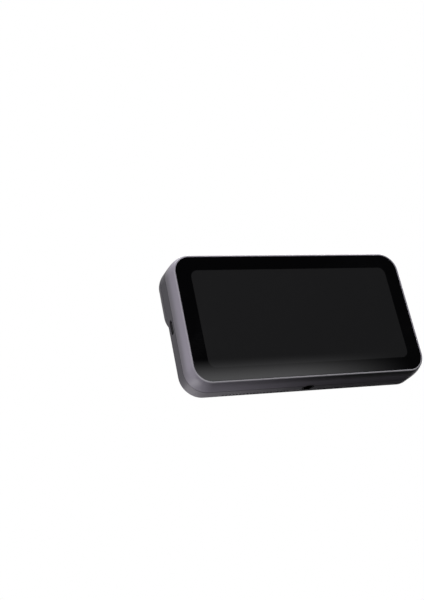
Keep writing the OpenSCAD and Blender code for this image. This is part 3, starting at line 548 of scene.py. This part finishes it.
# %% [markdown]
# ## The grip cover
# The lower half of the sensor side is a slightly proud matte cover. Towards its two ends it
# falls away over 10 mm, and at the base only over 2 mm, so its rings shrink by different
# amounts in X and Z. The top of the cover runs under the head, where the head's foot, a bowed
# outline pushed through it, cuts the rest away.

# %% Make the grip cover
GRIP_HALF_W, GRIP_HALF_H, GRIP_R = HALF_W - 2.0, HALF_H - 2.0, BODY_R - 2.0
GRIP_END, GRIP_BASE = 10.0, 2.2
GRIP_WALL, HOLLOW_LIFT, FOOT_PLAY = 1.6, 0.8, 0.15
Y_GRIP_EDGE, Y_GRIP = Y_REAR - 0.5, Y_REAR - 1.6


def pillow_ring(share, y, wall=0.0):
    half_w = GRIP_HALF_W - wall - GRIP_END * share
    half_h = GRIP_HALF_H - wall - GRIP_BASE * share
    base = rounded(GRIP_HALF_W - wall, GRIP_HALF_H - wall, GRIP_R - wall)
    across, along = half_w / (GRIP_HALF_W - wall), half_h / (GRIP_HALF_H - wall)
    return [(x * across, y, HALF_H + (z - HALF_H) * along) for x, z in base]


grip_rings = [pillow_ring(0, Y_SEAT, GRIP_WALL), pillow_ring(0, Y_SEAT)]
grip_rings += [pillow_ring(drawn, Y_GRIP_EDGE + (Y_GRIP - Y_GRIP_EDGE) * risen)
               for drawn, risen in quarter_turn(16)]
hollow_rings = [pillow_ring(0, Y_SEAT + 1, GRIP_WALL)]
hollow_rings += [pillow_ring(drawn, Y_REAR + HOLLOW_LIFT - HOLLOW_LIFT * risen, GRIP_WALL)
                 for drawn, risen in quarter_turn(8)]
grip = skin("grip_skin", grip_rings)
carve(grip, skin("grip_hollow", hollow_rings))

HEAD_FOOT = dict(half_w=HALF_W, top=BODY_H, radius=BODY_R, low=36.6, slope=7.7, bow=130.0)
HEAD_RIM = dict(half_w=85.1, top=90.4, radius=11.1, low=37.1, slope=8.9, bow=130.0)


def head_ring(share, grow, y):
    """The head's outline between its foot, share 0, and the rim round the window, share 1."""
    both = {k: HEAD_FOOT[k] + (HEAD_RIM[k] - HEAD_FOOT[k]) * share for k in HEAD_FOOT}
    return at_depth(bowed(grow=grow, **both), y)


carve(grip, skin("foot_tool", [head_ring(0, FOOT_PLAY, y) for y in (-4.4, -9.8)]))
smooth(grip)
describe(grip)

# %% [markdown]
# ## The sensor head
# The head rises from the body's full outline and closes in on the tighter window, again on a
# quarter ellipse, while its lower edge keeps its bow. The section runs over the rim, into the
# window's recess, through the inside and back out to the foot. The window pane has the same
# ground edge as the cover glass.

# %% Make the head
WINDOW = dict(half_w=84.6, top=89.9, radius=10.6, low=37.6, slope=8.9, bow=130.0)
WINDOW_PLAY, PANE_GROW = 0.15, 0.12
PANE_LEDGE, FOOT_WALL, FOOT_LIP = 4.0, 3.2, 1.35
Y_PANE_SEAT, Y_PANE_BACK = Y_WINDOW + 1.5, Y_WINDOW + 2.7


def window_ring(grow, y):
    return at_depth(bowed(grow=grow, **WINDOW), y)


head_rings = [head_ring(drawn, 0, Y_REAR + (Y_WINDOW - Y_REAR) * risen)
              for drawn, risen in quarter_turn(18)]
head_rings += [
    window_ring(WINDOW_PLAY, Y_WINDOW + 0.05), window_ring(WINDOW_PLAY, Y_PANE_SEAT),
    window_ring(-PANE_LEDGE, Y_PANE_SEAT), window_ring(-PANE_LEDGE, Y_PANE_BACK),
    head_ring(1, -2.0, Y_PANE_BACK), head_ring(0, -FOOT_WALL, Y_SEAT),
    head_ring(0, -FOOT_LIP, Y_SEAT), head_ring(0, -FOOT_LIP, Y_REAR)]
head = skin("head_shell", head_rings, closed=True)
describe(head)

pane_edge = [(PANE_GROW, 1.2), (PANE_GROW, 0.3)] + GROUND_EDGE
pane = skin("window_pane", [window_ring(grow, Y_WINDOW + depth) for grow, depth in pane_edge])
describe(pane)

# %% [markdown]
# ## Cameras and lights behind the window
# These are turned parts, so their rings are circles along the Y axis, and a list of radius and
# depth is their drawing. The stereo cameras have a stepped hood with fine ribs that swallow stray
# light. The lights are resin domes in a collar. Each kind is modelled once and copied.

# %% Make the cameras
ROW_Z, STEREO_X = 70.5, 36.6
Y_LENS, Y_HOOD_BACK = -12.5, -9.6


def turned(name, drawing, x, z, steps=48):
    """Skins circles round an axis along Y; the drawing lists their radius and depth."""
    way = full_turn(steps)
    return skin(name, [[(x + r * c, y, z + r * s) for c, s in way] for r, y in drawing])


def copy_to(piece, name, dx):
    """A copy with its own mesh, moved along X."""
    pick_only(piece)
    bpy.ops.object.duplicate(linked=False)
    twin = bpy.context.object
    twin.name = name
    twin.location = (dx * MM, 0, 0)
    put_at_origin(twin)
    return twin


hood = [(5.25, Y_HOOD_BACK), (5.25, Y_LENS + 1.2), (4.95, Y_LENS + 1.2), (4.95, Y_LENS + 0.1),
        (4.85, Y_LENS), (4.25, Y_LENS), (4.15, Y_LENS + 0.35)]
for rib in range(4):
    y = Y_LENS + 0.45 + rib * 0.32
    hood += [(4.15 - 0.14 * rib, y), (3.95 - 0.14 * rib, y + 0.1), (4.0 - 0.14 * rib, y + 0.3)]
hood += [(3.42, -10.7), (3.42, Y_HOOD_BACK)]
left_hood = turned("left_camera_hood", hood, -STEREO_X, ROW_Z)
block = box((15, 4.6, 15), (-STEREO_X, -7.3, ROW_Z))
bevel_edges(block, 0.8, 4)
left_hood = join_as("left_camera_hood", block, left_hood)
smooth(left_hood)
right_hood = copy_to(left_hood, "right_camera_hood", 2 * STEREO_X)
describe(left_hood)

# %% Make the lenses
LENS_R, COLOR_R, COLOR_Z = 3.4, 2.35, 54.0


def dome(radius, height, y_back, y_front, steps=9):
    """The drawing of a lens: a cylinder with a ball's cap on its front."""
    ball = (radius * radius + height * height) / (2 * height)
    centre = y_front + ball
    start = math.asin(radius / ball)
    drawing = [(radius, y_back)]
    for i in range(steps + 1):
        a = start * (1 - 0.97 * i / steps)
        drawing.append((ball * math.sin(a), centre - ball * math.cos(a)))
    return drawing


stereo_drawing = dome(LENS_R, 0.9, -9.65, Y_LENS + 0.9)
left_glass = turned("left_lens_glass", stereo_drawing, -STEREO_X, ROW_Z)
right_glass = copy_to(left_glass, "right_lens_glass", 2 * STEREO_X)
color_glass = turned("color_lens_glass", dome(COLOR_R, 0.6, -9.4, Y_LENS + 0.5), 0, COLOR_Z)
describe(left_glass, color_glass)

# %% Make the lights
LED_X, LED_PITCH, LED_R = 53.0, 7.7, 2.4
FILL_X, FILL_Z, FILL_R = 3.9, 44.0, 2.15


def light_drawing(radius):
    """A collar, and a cap that nearly closes at its top."""
    collar = [(radius, -9.4), (radius, -11.9), (radius - 0.1, -12.0), (radius * 0.82, -12.0),
              (radius * 0.78, -11.7)]
    turn_by = [math.radians(88 * i / 8) for i in range(9)]
    return collar + [(radius * 0.72 * math.cos(a), -11.5 - (0.95 * math.sin(a)))
                     for a in turn_by]


first_led = turned("led_dome", light_drawing(LED_R), LED_X, ROW_Z, 32)
places = [side * (LED_X + i * LED_PITCH) for side in (-1, 1) for i in range(4)]
leds = [copy_to(first_led, "led_dome", x - LED_X) for x in places if x != LED_X]
led_domes = join_as("infrared_domes", first_led, *leds)
fill = turned("fill_dome", light_drawing(FILL_R), FILL_X, FILL_Z, 32)
fill_domes = join_as("fill_domes", fill, copy_to(fill, "fill_dome", -2 * FILL_X))
describe(led_domes, fill_domes)

# %% Make the corner emitters and the range sensors
EMITTER_X, EMITTER_Z, RANGE_X, RANGE_SIDE = 72.6, 81.4, 5.8, 5.4
disc = turned("emitter_disc", [(4.3, -5.0), (4.3, -6.2), (4.0, -6.2), (4.0, Y_LENS + 0.2),
                               (3.8, Y_LENS), (2.0, Y_LENS), (1.9, Y_LENS + 0.06)],
              EMITTER_X, EMITTER_Z)
emitter_discs = join_as("emitter_discs", disc, copy_to(disc, "emitter_disc", -2 * EMITTER_X))
tile = box((RANGE_SIDE, 3.1, RANGE_SIDE), (RANGE_X, -10.95, EMITTER_Z))
bevel_edges(tile, 0.3, 3)
range_tiles = join_as("range_tiles", tile, copy_to(tile, "range_tile", -2 * RANGE_X))
smooth(emitter_discs)
smooth(range_tiles)
describe(emitter_discs, range_tiles)

# %% [markdown]
# ## The keys
# A key is a pill with a softened crown, on a wider flange that keeps it in the wall. It moves
# 0.35 mm into the side, so each key rides on its own body.

# %% Make the keys
KEY_PROUD, KEY_INSIDE = 0.3, 3.5


def pill_at(x, z, length, width, steps=16):
    """A pill outline in Y and Z at one place along X."""
    half, r = (length - width) / 2, width / 2
    points = []
    for end, start in ((half, 0), (-half, 180)):
        for i in range(steps + 1):
            a = math.radians(start + 180 * i / steps)
            points.append((x, KEY_Y + r * math.cos(a), z + end + r * math.sin(a)))
    return points


def key(name, z, length):
    """Pills from the flange to the crown: their place along X and how much they grow."""
    out, wall = -HALF_W - KEY_PROUD, -HALF_W + KEY_INSIDE
    drawing = [(wall + 0.6, 1), (wall, 1), (wall, 0), (out + 0.3, 0), (out + 0.12, -0.12),
               (out + 0.03, -0.36), (out, -0.8)]
    return skin(name, [pill_at(x, z, length + grow, KEY_W + grow) for x, grow in drawing])


scan_key = key("scan_key_cap", SCAN_Z, SCAN_L)
power_key = key("power_key_cap", POWER_Z, POWER_L)
describe(scan_key, power_key)

# %% [markdown]
# ## Shared effects as node groups
# No moulded, painted or glass surface is one flat colour. Five effects come back in many
# finishes, so each is built once as a node group and placed with its own values. The first three
# are a grain with a slow mottle, smudges from handling, and a soft-edged rounded field for
# printed areas.


# %% Node group: grain
SOCKET_KINDS = {0: "NodeSocketFloat", 3: "NodeSocketVector", 4: "NodeSocketColor"}


def start_group(name, inputs, outputs):
    """Gives a group, the values that come in, and the node that takes its results."""
    group = bpy.data.node_groups.new(name, "ShaderNodeTree")
    for label, value in inputs.items():
        kind = SOCKET_KINDS[len(value) if isinstance(value, tuple) else 0]
        socket = group.interface.new_socket(label, in_out="INPUT", socket_type=kind)
        socket.default_value = value
    for label in outputs:
        kind = SOCKET_KINDS[4 if label == "Color" else 0]
        group.interface.new_socket(label, in_out="OUTPUT", socket_type=kind)
    given, wanted = group.nodes.new("NodeGroupInput"), group.nodes.new("NodeGroupOutput")
    return group, given.outputs, wanted


grain, given, wanted = start_group(
    "grain_and_mottle",
    {"Color": (0.5, 0.5, 0.5, 1), "Fine Scale": 2500.0, "Broad Scale": 60.0, "Mottle": 0.1,
     "Roughness": 0.5, "Roughness Change": 0.1},
    ["Color", "Roughness", "Height"])
where = object_place(grain)
fine = node(grain, "ShaderNodeTexNoise",
            {"Vector": where, "Scale": given["Fine Scale"], "Detail": 2.0}).outputs["Fac"]
broad = node(grain, "ShaderNodeTexNoise",
             {"Vector": where, "Scale": given["Broad Scale"], "Detail": 4.0}).outputs["Fac"]
centred = calc(grain, "SUBTRACT", calc(grain, "ADD", fine, broad), 1.0)
factor = calc(grain, "ADD", calc(grain, "MULTIPLY", centred, given["Mottle"]), 1.0)
tinted = node(grain, "ShaderNodeVectorMath", {0: given["Color"], 1: factor},
              operation="MULTIPLY").outputs[0]
change = calc(grain, "MULTIPLY", centred, given["Roughness Change"])
feed(grain, wanted, {"Color": tinted, "Height": fine,
                     "Roughness": calc(grain, "ADD", change, given["Roughness"])})
print("node group:", grain.name)

# %% Node group: handling smudges
smudge, given, wanted = start_group(
    "handling_smudges", {"Scale": 25.0, "Amount": 0.3, "Base": 0.1}, ["Mask", "Roughness"])
where = object_place(smudge)
bend = node(smudge, "ShaderNodeTexNoise",
            {"Vector": where, "Scale": given["Scale"], "Detail": 3.0, "Distortion": 1.2})
streak = node(smudge, "ShaderNodeTexWave",
              {"Vector": where, "Scale": 220.0, "Distortion": 6.0, "Detail": 2.0,
               "Detail Scale": 8.0}, wave_type="RINGS")
patch = node(smudge, "ShaderNodeMapRange",
             {"Value": bend.outputs["Fac"], "From Min": 0.5, "From Max": 0.72})
print_mask = calc(smudge, "MULTIPLY", patch.outputs[0], streak.outputs["Fac"])
amount = calc(smudge, "MULTIPLY", print_mask, given["Amount"])
feed(smudge, wanted, {"Mask": amount, "Roughness": calc(smudge, "ADD", amount, given["Base"])})
print("node group:", smudge.name)

# %% Node group: rounded field
field, given, wanted = start_group(
    "rounded_field",
    {"Middle X": 0.0, "Middle Z": 0.0465, "Half Width": 0.05, "Half Height": 0.03,
     "Corner": 0.004, "Soft": 0.0002}, ["Mask"])
place = node(field, "ShaderNodeSeparateXYZ", {0: object_place(field)}).outputs


def past_corner(axis, middle, half):
    """How far a point lies past the corner's centre along one axis."""
    away = calc(field, "ABSOLUTE", calc(field, "SUBTRACT", place[axis], given[middle]))
    core = calc(field, "SUBTRACT", given[half], given["Corner"])
    return calc(field, "MAXIMUM", calc(field, "SUBTRACT", away, core), 0.0)


both_over = node(field, "ShaderNodeCombineXYZ",
                 {0: past_corner("X", "Middle X", "Half Width"),
                  1: past_corner("Z", "Middle Z", "Half Height")})
outside = calc(field, "SUBTRACT", length_of(field, both_over.outputs[0]), given["Corner"])
soft = calc(field, "DIVIDE", outside, given["Soft"])
feed(field, wanted, {"Mask": calc(field, "SUBTRACT", 0.5, soft, use_clamp=True)})
print("node group:", field.name)

# %% [markdown]
# Lenses and lights show rings round their middle. The next group gives the distance from the
# nearest middle. It takes X without its sign, so that one finish serves both sides, and wraps it
# at a pitch, so that one finish serves a row of lights.

# %% Node group: target rings
target, given, wanted = start_group(
    "target_rings", {"Middle X": 0.0, "Middle Z": 0.0705, "Pitch": 1.0}, ["Distance"])
place = node(target, "ShaderNodeSeparateXYZ", {0: object_place(target)}).outputs
from_middle = calc(target, "SUBTRACT", calc(target, "ABSOLUTE", place["X"]), given["Middle X"])
half_pitch = calc(target, "MULTIPLY", given["Pitch"], 0.5)
minus_half = calc(target, "MULTIPLY", half_pitch, -1.0)
flat_place = node(target, "ShaderNodeCombineXYZ",
                  {0: calc(target, "WRAP", from_middle, half_pitch, minus_half),
                   1: calc(target, "SUBTRACT", place["Z"], given["Middle Z"])})
feed(target, wanted, {"Distance": length_of(target, flat_place.outputs[0])})
print("node group:", target.name)

# %% [markdown]
# On the rounded shells light and shade are painted into the colour, a little lighter here and
# darker there, and the glass has a painted reflection that fades along it. Both follow the
# object's own axes, so one group turns the distance along an axis into a mask that runs smoothly
# from one value to another.

# %% Node group: axis ramp
AXES = {"X": (1, 0, 0), "Y": (0, 1, 0), "Z": (0, 0, 1)}
axis_ramp, given, wanted = start_group(
    "axis_ramp", {"Along": (0, 0, 1), "Start": 0.0, "End": 1.0, "Low": 0.0, "High": 1.0},
    ["Mask"])
along = node(axis_ramp, "ShaderNodeVectorMath",
             {0: object_place(axis_ramp), 1: given["Along"]}, operation="DOT_PRODUCT")
ramp = node(axis_ramp, "ShaderNodeMapRange",
            {"Value": along.outputs["Value"], "From Min": given["Start"],
             "From Max": given["End"], "To Min": given["Low"], "To Max": given["High"]},
            interpolation_type="SMOOTHSTEP")
feed(axis_ramp, wanted, {"Mask": ramp.outputs[0]})
print("node group:", axis_ramp.name)

# %% [markdown]
# ## Finishes
# Each finish is one material with a Principled shader. What is the same all over stands on the
# shader's own sockets; what changes over the surface comes from the groups. Colours are written
# as screen values, 0 to 255, and a small function turns them into Blender's linear ones.

# %% Helpers: colours, groups and grain
def paint(*screen):
    """Screen values to linear ones."""
    shares = [c / 255 for c in screen]
    values = [c / 12.92 if c <= 0.04045 else ((c + 0.055) / 1.055) ** 2.4 for c in shares]
    return (*values, 1.0)


def place_group(tree, group, **values):
    """Places a node group and gives its results by name."""
    new = tree.nodes.new("ShaderNodeGroup")
    new.node_tree = group
    feed(tree, new, {label.replace("_", " "): value for label, value in values.items()})
    return new.outputs


def grained(name, color, roughness, mottle=0.08, change=0.08, fine_scale=2500.0,
            broad_scale=60.0, relief=0.02, specular=0.5, metallic=0.0, coat=0.0):
    """A finish whose colour, gloss and height all vary a little."""
    finish, tree, shader = new_finish(name)
    part = place_group(tree, grain, Color=color, Fine_Scale=fine_scale, Broad_Scale=broad_scale,
                       Mottle=mottle, Roughness=roughness, Roughness_Change=change)
    bump = node(tree, "ShaderNodeBump", {"Height": part["Height"], "Strength": 0.35,
                                         "Distance": relief * MM})
    feed(tree, shader, {"Base Color": part["Color"], "Roughness": part["Roughness"],
                        "Normal": bump.outputs["Normal"], "Specular IOR Level": specular,
                        "Metallic": metallic, "Coat Weight": coat})
    return finish


# %% [markdown]
# Two more helpers change the colour that goes into the grain. One draws rings of tones round a
# middle, and the other lays tones over each other along the axes.

# %% Helpers: rings and layers of tones
def recolor(finish, color):
    """Feeds a colour into the grain of a finish."""
    nodes = finish.node_tree.nodes
    part = next(n for n in nodes if n.type == "GROUP" and n.node_tree == grain)
    feed(finish.node_tree, part, {"Color": color})


def ringed(finish, middle_x, middle_z, pitch, tones):
    """Colours a finish in rings; tones are pairs of a radius in mm and a colour."""
    tree = finish.node_tree
    rings = place_group(tree, target, Middle_X=middle_x * MM, Middle_Z=middle_z * MM,
                        Pitch=pitch * MM)
    outer = tones[-1][0]
    share = calc(tree, "DIVIDE", rings["Distance"], outer * MM)
    ramp = node(tree, "ShaderNodeValToRGB", {"Fac": share})
    stops = ramp.color_ramp.elements
    stops[0].position, stops[0].color = 0.0, tones[0][1]
    stops[1].position, stops[1].color = 1.0, tones[-1][1]
    for radius, color in tones[1:-1]:
        stops.new(radius / outer).color = color
    recolor(finish, ramp.outputs["Color"])
    return finish


def layered(tree, base, layers):
    """Lays tones over a base; each mask is a product of ramps (axis, mm, mm, value, value)."""
    color = base
    for tone, ramps in layers:
        mask = 1.0
        for axis, start, end, low, high in ramps:
            ramp = place_group(tree, axis_ramp, Along=AXES[axis], Start=start * MM,
                               End=end * MM, Low=low, High=high)
            mask = calc(tree, "MULTIPLY", ramp["Mask"], mask)
        color = mixed(tree, mask, color, tone)
    return color


def toned(finish, base, layers):
    """The same on a grained finish."""
    recolor(finish, layered(finish.node_tree, base, layers))


# %% [markdown]
# The shells come in close tones. The bezel is a pearl paint with fine flake under a thin coat.
# The band and the head are a darker satin, and the grip is a dry, soft-touch grey. Light and
# shade are painted into the shells' colour: painted shade on the bezel by the seam, a painted
# highlight towards the glass, painted shade along the base that turns nearly black at one end,
# and a painted highlight line along the rim there. The band has painted light on its base at one
# end and painted shade on its sides, and the head has painted shade towards its two ends.

# %% Finishes of the shells
PEARL, SATIN, HEAD_SATIN = paint(124, 120, 130), paint(92, 90, 95), paint(104, 101, 107)
pearl = grained("pearl_paint", PEARL, 0.38, mottle=0.10, fine_scale=5200.0,
                relief=0.008, specular=0.08, coat=0.05)
pearl.node_tree.nodes["Principled BSDF"].inputs["Coat Roughness"].default_value = 0.2
satin = grained("satin_shell", SATIN, 0.46, mottle=0.10, fine_scale=3600.0,
                relief=0.012, specular=0.05)
head_satin = grained("head_satin", HEAD_SATIN, 0.42, mottle=0.10, fine_scale=3600.0,
                     relief=0.012, specular=0.05)
soft_touch = grained("soft_touch_grip", paint(112, 108, 117), 0.62, mottle=0.12,
                     fine_scale=4200.0, broad_scale=35.0, relief=0.03,
                     specular=0.04)
above_base, at_base = ("Z", 4, 16, 0, 1), ("Z", 5, 1.5, 0, 1)
# Painted shade by the seam, a painted highlight towards the glass, painted shade along the base,
# darkest at one end, and a painted highlight line on the rim, strongest at the base.
toned(pearl, PEARL, [
    (paint(86, 83, 90), [("Y", 12, 3, 0, 1), above_base]),
    (paint(137, 132, 143), [("Y", 7, 14.4, 0, 1), above_base]),
    (paint(70, 68, 74), [("X", 50, -20, 0, 0.6), at_base]),
    (paint(16, 16, 18), [("Y", 9, 13, 0, 1), ("X", 80, -45, 0.05, 0.95), at_base]),
    (paint(166, 164, 170), [("Y", 14.5, 14.8, 0, 1), ("Z", 12, 4, 0.2, 1)])])
# Painted light on the base at one end, and painted shade on the sides above the base.
toned(satin, SATIN, [
    (paint(124, 121, 127), [("X", -10, 50, 0, 1), ("Z", 10, 2, 0, 1)]),
    (paint(65, 63, 68), [above_base])])
# Painted shade towards the head's two ends.
toned(head_satin, HEAD_SATIN, [
    (paint(68, 66, 71), [("X", side * 81, side * 86, 0, 1)]) for side in (1, -1)])
print("shell finishes:", pearl.name, satin.name, head_satin.name, soft_touch.name)

# %% [markdown]
# The display glass is black all over. The lit area of the panel behind it is a shade lighter
# even when it is off, which the rounded field paints. A painted reflection, a faint milky haze,
# lies over the lower border, stronger towards one end, and fingerprints show only in the gloss.

# %% Finish of the display glass
display_black, tree, shader = new_finish("display_black")
active = place_group(tree, field, Middle_X=0.0, Middle_Z=0.04611, Half_Width=0.0738,
                     Half_Height=0.03405, Corner=0.005, Soft=0.00025)
prints = place_group(tree, smudge, Scale=22.0, Amount=0.05, Base=0.06)
off_panel = mixed(tree, active["Mask"], paint(2, 2, 3), paint(29, 29, 30))
# Painted reflection: a milky haze over the lower border, stronger towards one end.
painted_reflection = layered(tree, off_panel,
                [(paint(84, 84, 85), [("Z", 18.5, 2, 0, 1), ("X", -78, 25, 0, 1)])])
feed(tree, shader, {"Base Color": mixed(tree, prints["Mask"], painted_reflection, paint(60, 60, 62)),
                    "Roughness": prints["Roughness"], "Specular IOR Level": 0.01})
print("display finish:", display_black.name)

# %% [markdown]
# The sensor window lets a little light through, so that the cameras show dimly behind it. Its
# Alpha is one plain value; the black mask film right behind it keeps the rest dark. A painted
# reflection fades along it, and smudges lie on it as on the display.

# %% Finish of the sensor window
window_black, tree, shader = new_finish("window_black")
prints = place_group(tree, smudge, Scale=18.0, Amount=0.06, Base=0.05)
printed = mixed(tree, prints["Mask"], paint(26, 26, 27), paint(40, 40, 42))
# Painted reflection, lighter towards the top and one end.
window_painted_reflection = layered(tree, printed,
                [(paint(112, 112, 114), [("Z", 52, 100, 0, 1), ("X", 60, -120, 0, 1)])])
feed(tree, shader, {"Base Color": window_painted_reflection, "Roughness": prints["Roughness"],
                    "Specular IOR Level": 0.02, "Alpha": 0.22})
print("window finish:", window_black.name)

# %% [markdown]
# Metals get their life from roughness more than from colour. Machined parts show fine turning
# lines, bare sheet a slow mottle, and the bench is a blackened casting.

# %% Finishes of metal parts
steel = grained("zinc_steel", paint(172, 173, 178), 0.32, mottle=0.15, change=0.25,
                fine_scale=1800.0, relief=0.01, metallic=1.0)
sheet_metal = grained("bare_sheet", paint(178, 180, 183), 0.36, change=0.2,
                      fine_scale=900.0, relief=0.01, metallic=1.0)
fin_metal = grained("finned_aluminium", paint(186, 187, 190), 0.4, mottle=0.1, change=0.15,
                    fine_scale=1200.0, relief=0.015, metallic=1.0)
casting = grained("blackened_casting", paint(62, 62, 66), 0.5, mottle=0.2, change=0.2,
                  fine_scale=1400.0, relief=0.05, metallic=0.6)
thread_metal = grained("thread_steel", paint(64, 64, 67), 0.24, mottle=0.12, change=0.2,
                       fine_scale=2400.0, relief=0.008, metallic=1.0)
antenna_metal = grained("etched_copper", paint(196, 132, 84), 0.35, mottle=0.15, change=0.2,
                        metallic=1.0)
print("metal finishes: 6")

# %% [markdown]
# Moulded blacks, resins and films. The pieces behind the window are lighter than they look,
# because the dark window takes most of their light away.

# %% Finishes of moulded and resin parts
NO_WRAP = 1000.0
camera_black = grained("camera_black", paint(76, 76, 77), 0.5, mottle=0.15, specular=0.1)
emitter_grey = grained("emitter_grey", paint(100, 100, 101), 0.5, mottle=0.12, specular=0.1)
frame_grey = grained("projector_frame_grey", paint(168, 168, 170), 0.4, specular=0.1)
projector_black = grained("projector_black", paint(4, 4, 5), 0.4, mottle=0.2, specular=0.0)
led_resin = ringed(
    grained("smoked_resin", paint(140, 140, 146), 0.5, mottle=0.1, coat=0.1),
    LED_X, ROW_Z, LED_PITCH,
    [(0, paint(112, 112, 114)), (0.7, paint(104, 104, 106)), (1.0, paint(62, 62, 63)),
     (1.5, paint(62, 62, 63)), (1.8, paint(96, 96, 98)), (LED_R, paint(96, 96, 98))])
phosphor = ringed(
    grained("phosphor_resin", paint(232, 222, 150), 0.4, mottle=0.1, coat=0.1),
    FILL_X, FILL_Z, NO_WRAP,
    [(0, paint(246, 236, 150)), (0.9, paint(238, 226, 140)), (1.3, paint(84, 82, 76)),
     (FILL_R, paint(78, 78, 79))])
mask_film = grained("printed_mask", paint(4, 4, 5), 0.7, mottle=0.3, specular=0.0)
black_plastic = grained("black_plastic", paint(30, 30, 32), 0.5, mottle=0.25)
rubber = grained("seal_rubber", paint(26, 26, 27), 0.85, mottle=0.25, relief=0.05)
pouch = grained("pouch_foil", paint(52, 56, 64), 0.35, mottle=0.15, change=0.2,
                broad_scale=200.0, relief=0.06, metallic=0.5)
amber_film = grained("amber_film", paint(176, 112, 44), 0.3, mottle=0.15)
board_black = grained("black_solder_mask", paint(14, 15, 15), 0.4, mottle=0.25)
panel_dark = grained("panel_dark", paint(20, 20, 24), 0.3, mottle=0.2)
# Painted shade: a dark finish for the walls inside the slots and holes of the base.
painted_opening_shade = grained("painted_opening_shade", paint(8, 8, 9), 0.8, mottle=0.3, specular=0.0)
socket_black = grained("socket_black", paint(20, 20, 21), 0.5, mottle=0.25, specular=0.05)
print("moulded finishes: 15")

# %% [markdown]
# Behind the dark window the lenses don't look like black glass. They show as grey targets, as
# the light that comes back from their inner rings does in the photograph.

# %% Finishes of the lenses
def lens_finish(name, middle_x, middle_z, radius):
    light, dark = paint(90, 90, 92), paint(56, 56, 58)
    shares = [(0, light), (0.3, light), (0.38, dark), (0.5, dark), (0.58, light), (0.78, light),
              (0.86, dark), (1.0, dark)]
    return ringed(grained(name, light, 0.3, specular=0.1),
                  middle_x, middle_z, NO_WRAP, [(share * radius, tone) for share, tone in shares])


stereo_lens = lens_finish("stereo_lens", STEREO_X, ROW_Z, LENS_R)
color_camera_lens = lens_finish("color_camera_lens", 0.0, COLOR_Z, COLOR_R)
print("lens finishes:", stereo_lens.name, color_camera_lens.name)

# %% [markdown]
# A circuit board is green solder mask over copper tracks, with small pads. A brick pattern gives
# the runs of tracks, and Voronoi cells give the scattered pads.

# %% Finish of the circuit boards
board_green, tree, shader = new_finish("board_green")
where = object_place(tree)
flat = node(tree, "ShaderNodeMapping", {"Vector": where, "Rotation": (math.pi / 2, 0, 0)})
tracks = node(tree, "ShaderNodeTexBrick",
              {"Vector": flat.outputs[0], "Scale": 160.0, "Mortar Size": 0.02,
               "Color1": paint(20, 84, 52), "Color2": paint(26, 98, 60),
               "Mortar": paint(44, 128, 78)})
cells = node(tree, "ShaderNodeTexVoronoi", {"Vector": where, "Scale": 420.0})
pads = calc(tree, "LESS_THAN", cells.outputs["Distance"], 0.16)
pad_gold = paint(206, 186, 120)
feed(tree, shader, {"Base Color": mixed(tree, pads, tracks.outputs["Color"], pad_gold),
                    "Metallic": pads, "Roughness": 0.35})
print("board finish:", board_green.name)

# %% [markdown]
# ## Putting finishes on
# Every CAD node keeps its mesh and gets a finish through its material slots. Each new piece gets
# the finish of the CAD node that it stands for, and is told which body it rides on.

# %% Finishes on the CAD nodes
WORN_BY = [
    (pearl, ["front_bezel"]), (satin, ["mid_frame", "scan_button", "power_button"]),
    (head_satin, ["head_housing"]), (soft_touch, ["grip_cover"]),
    (display_black, ["cover_glass"]), (window_black, ["sensor_window"]),
    (rubber, ["display_gasket"]), (mask_film, ["window_gasket", "window_mask"]),
    (panel_dark, ["display_panel"]), (sheet_metal, ["display_plate"]),
    (thread_metal, ["tripod_insert"]), (casting, ["optical_bench"]), (fin_metal, ["heat_sink"]),
    (antenna_metal, ["wifi_antenna"]), (pouch, ["battery_pack"]),
    (steel, ["plate_screws", "bench_screws", "board_screws", "fan_shaft"]),
    (camera_black, ["left_camera", "right_camera", "color_camera"]),
    (stereo_lens, ["left_lens", "right_lens"]), (color_camera_lens, ["color_lens"]),
    (projector_black, ["pattern_projector"]), (frame_grey, ["projector_frame"]),
    (emitter_grey, ["range_sensors", "corner_emitters"]), (led_resin, ["infrared_leds"]),
    (phosphor, ["fill_lights"]), (socket_black, ["usb_port"]),
    (board_black, ["range_sensor_board", "left_led_board", "right_led_board",
                   "fill_light_board"]),
    (board_green, ["main_board", "port_board", "key_board"]),
    (black_plastic, ["fan_housing", "fan_rotor", "speaker", "key_switches"]),
    (amber_film, ["display_cable", "sensor_cable"]),
]
FINISH_OF = {name: finish for finish, names in WORN_BY for name in names}
for name, finish in FINISH_OF.items():
    for material_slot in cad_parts[name].material_slots:
        material_slot.material = finish
print("CAD nodes with a finish:", len(FINISH_OF), "of", len(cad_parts))

# %% Finishes and bodies of the new pieces
KEYS = ("scan_button", "power_button")
PIECE_FOR = {
    "front_bezel": bezel, "cover_glass": cover, "mid_frame": band, "tripod_insert": insert,
    "grip_cover": grip, "head_housing": head, "sensor_window": pane, "left_camera": left_hood,
    "right_camera": right_hood, "left_lens": left_glass, "right_lens": right_glass,
    "color_lens": color_glass, "infrared_leds": led_domes, "fill_lights": fill_domes,
    "corner_emitters": emitter_discs, "range_sensors": range_tiles, "scan_button": scan_key,
    "power_button": power_key,
}
for name, piece in PIECE_FOR.items():
    piece.data.materials.clear()
    piece.data.materials.append(FINISH_OF[name])
    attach(piece, name if name in KEYS else "scanner_body")
    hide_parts(name)
print("new pieces:", len(PIECE_FOR))

# %% [markdown]
# The walls of the slots and holes in the base are faces of the band. They get a dark finish that
# is painted shade.

# %% Paint shade into the openings of the base
OPENINGS_X, OPENINGS_Y, OPENINGS_Z = (-66, 66), (-6.0, -3.0), (0.05, 5.0)
pick_only(band)
band.data.materials.append(painted_opening_shade)
inside = 0
for face in band.data.polygons:
    spans = zip(face.center / MM, (OPENINGS_X, OPENINGS_Y, OPENINGS_Z))
    if all(low < c < high for c, (low, high) in spans):
        face.material_index = 1
        inside += 1
print("faces inside the slots and holes:", inside)
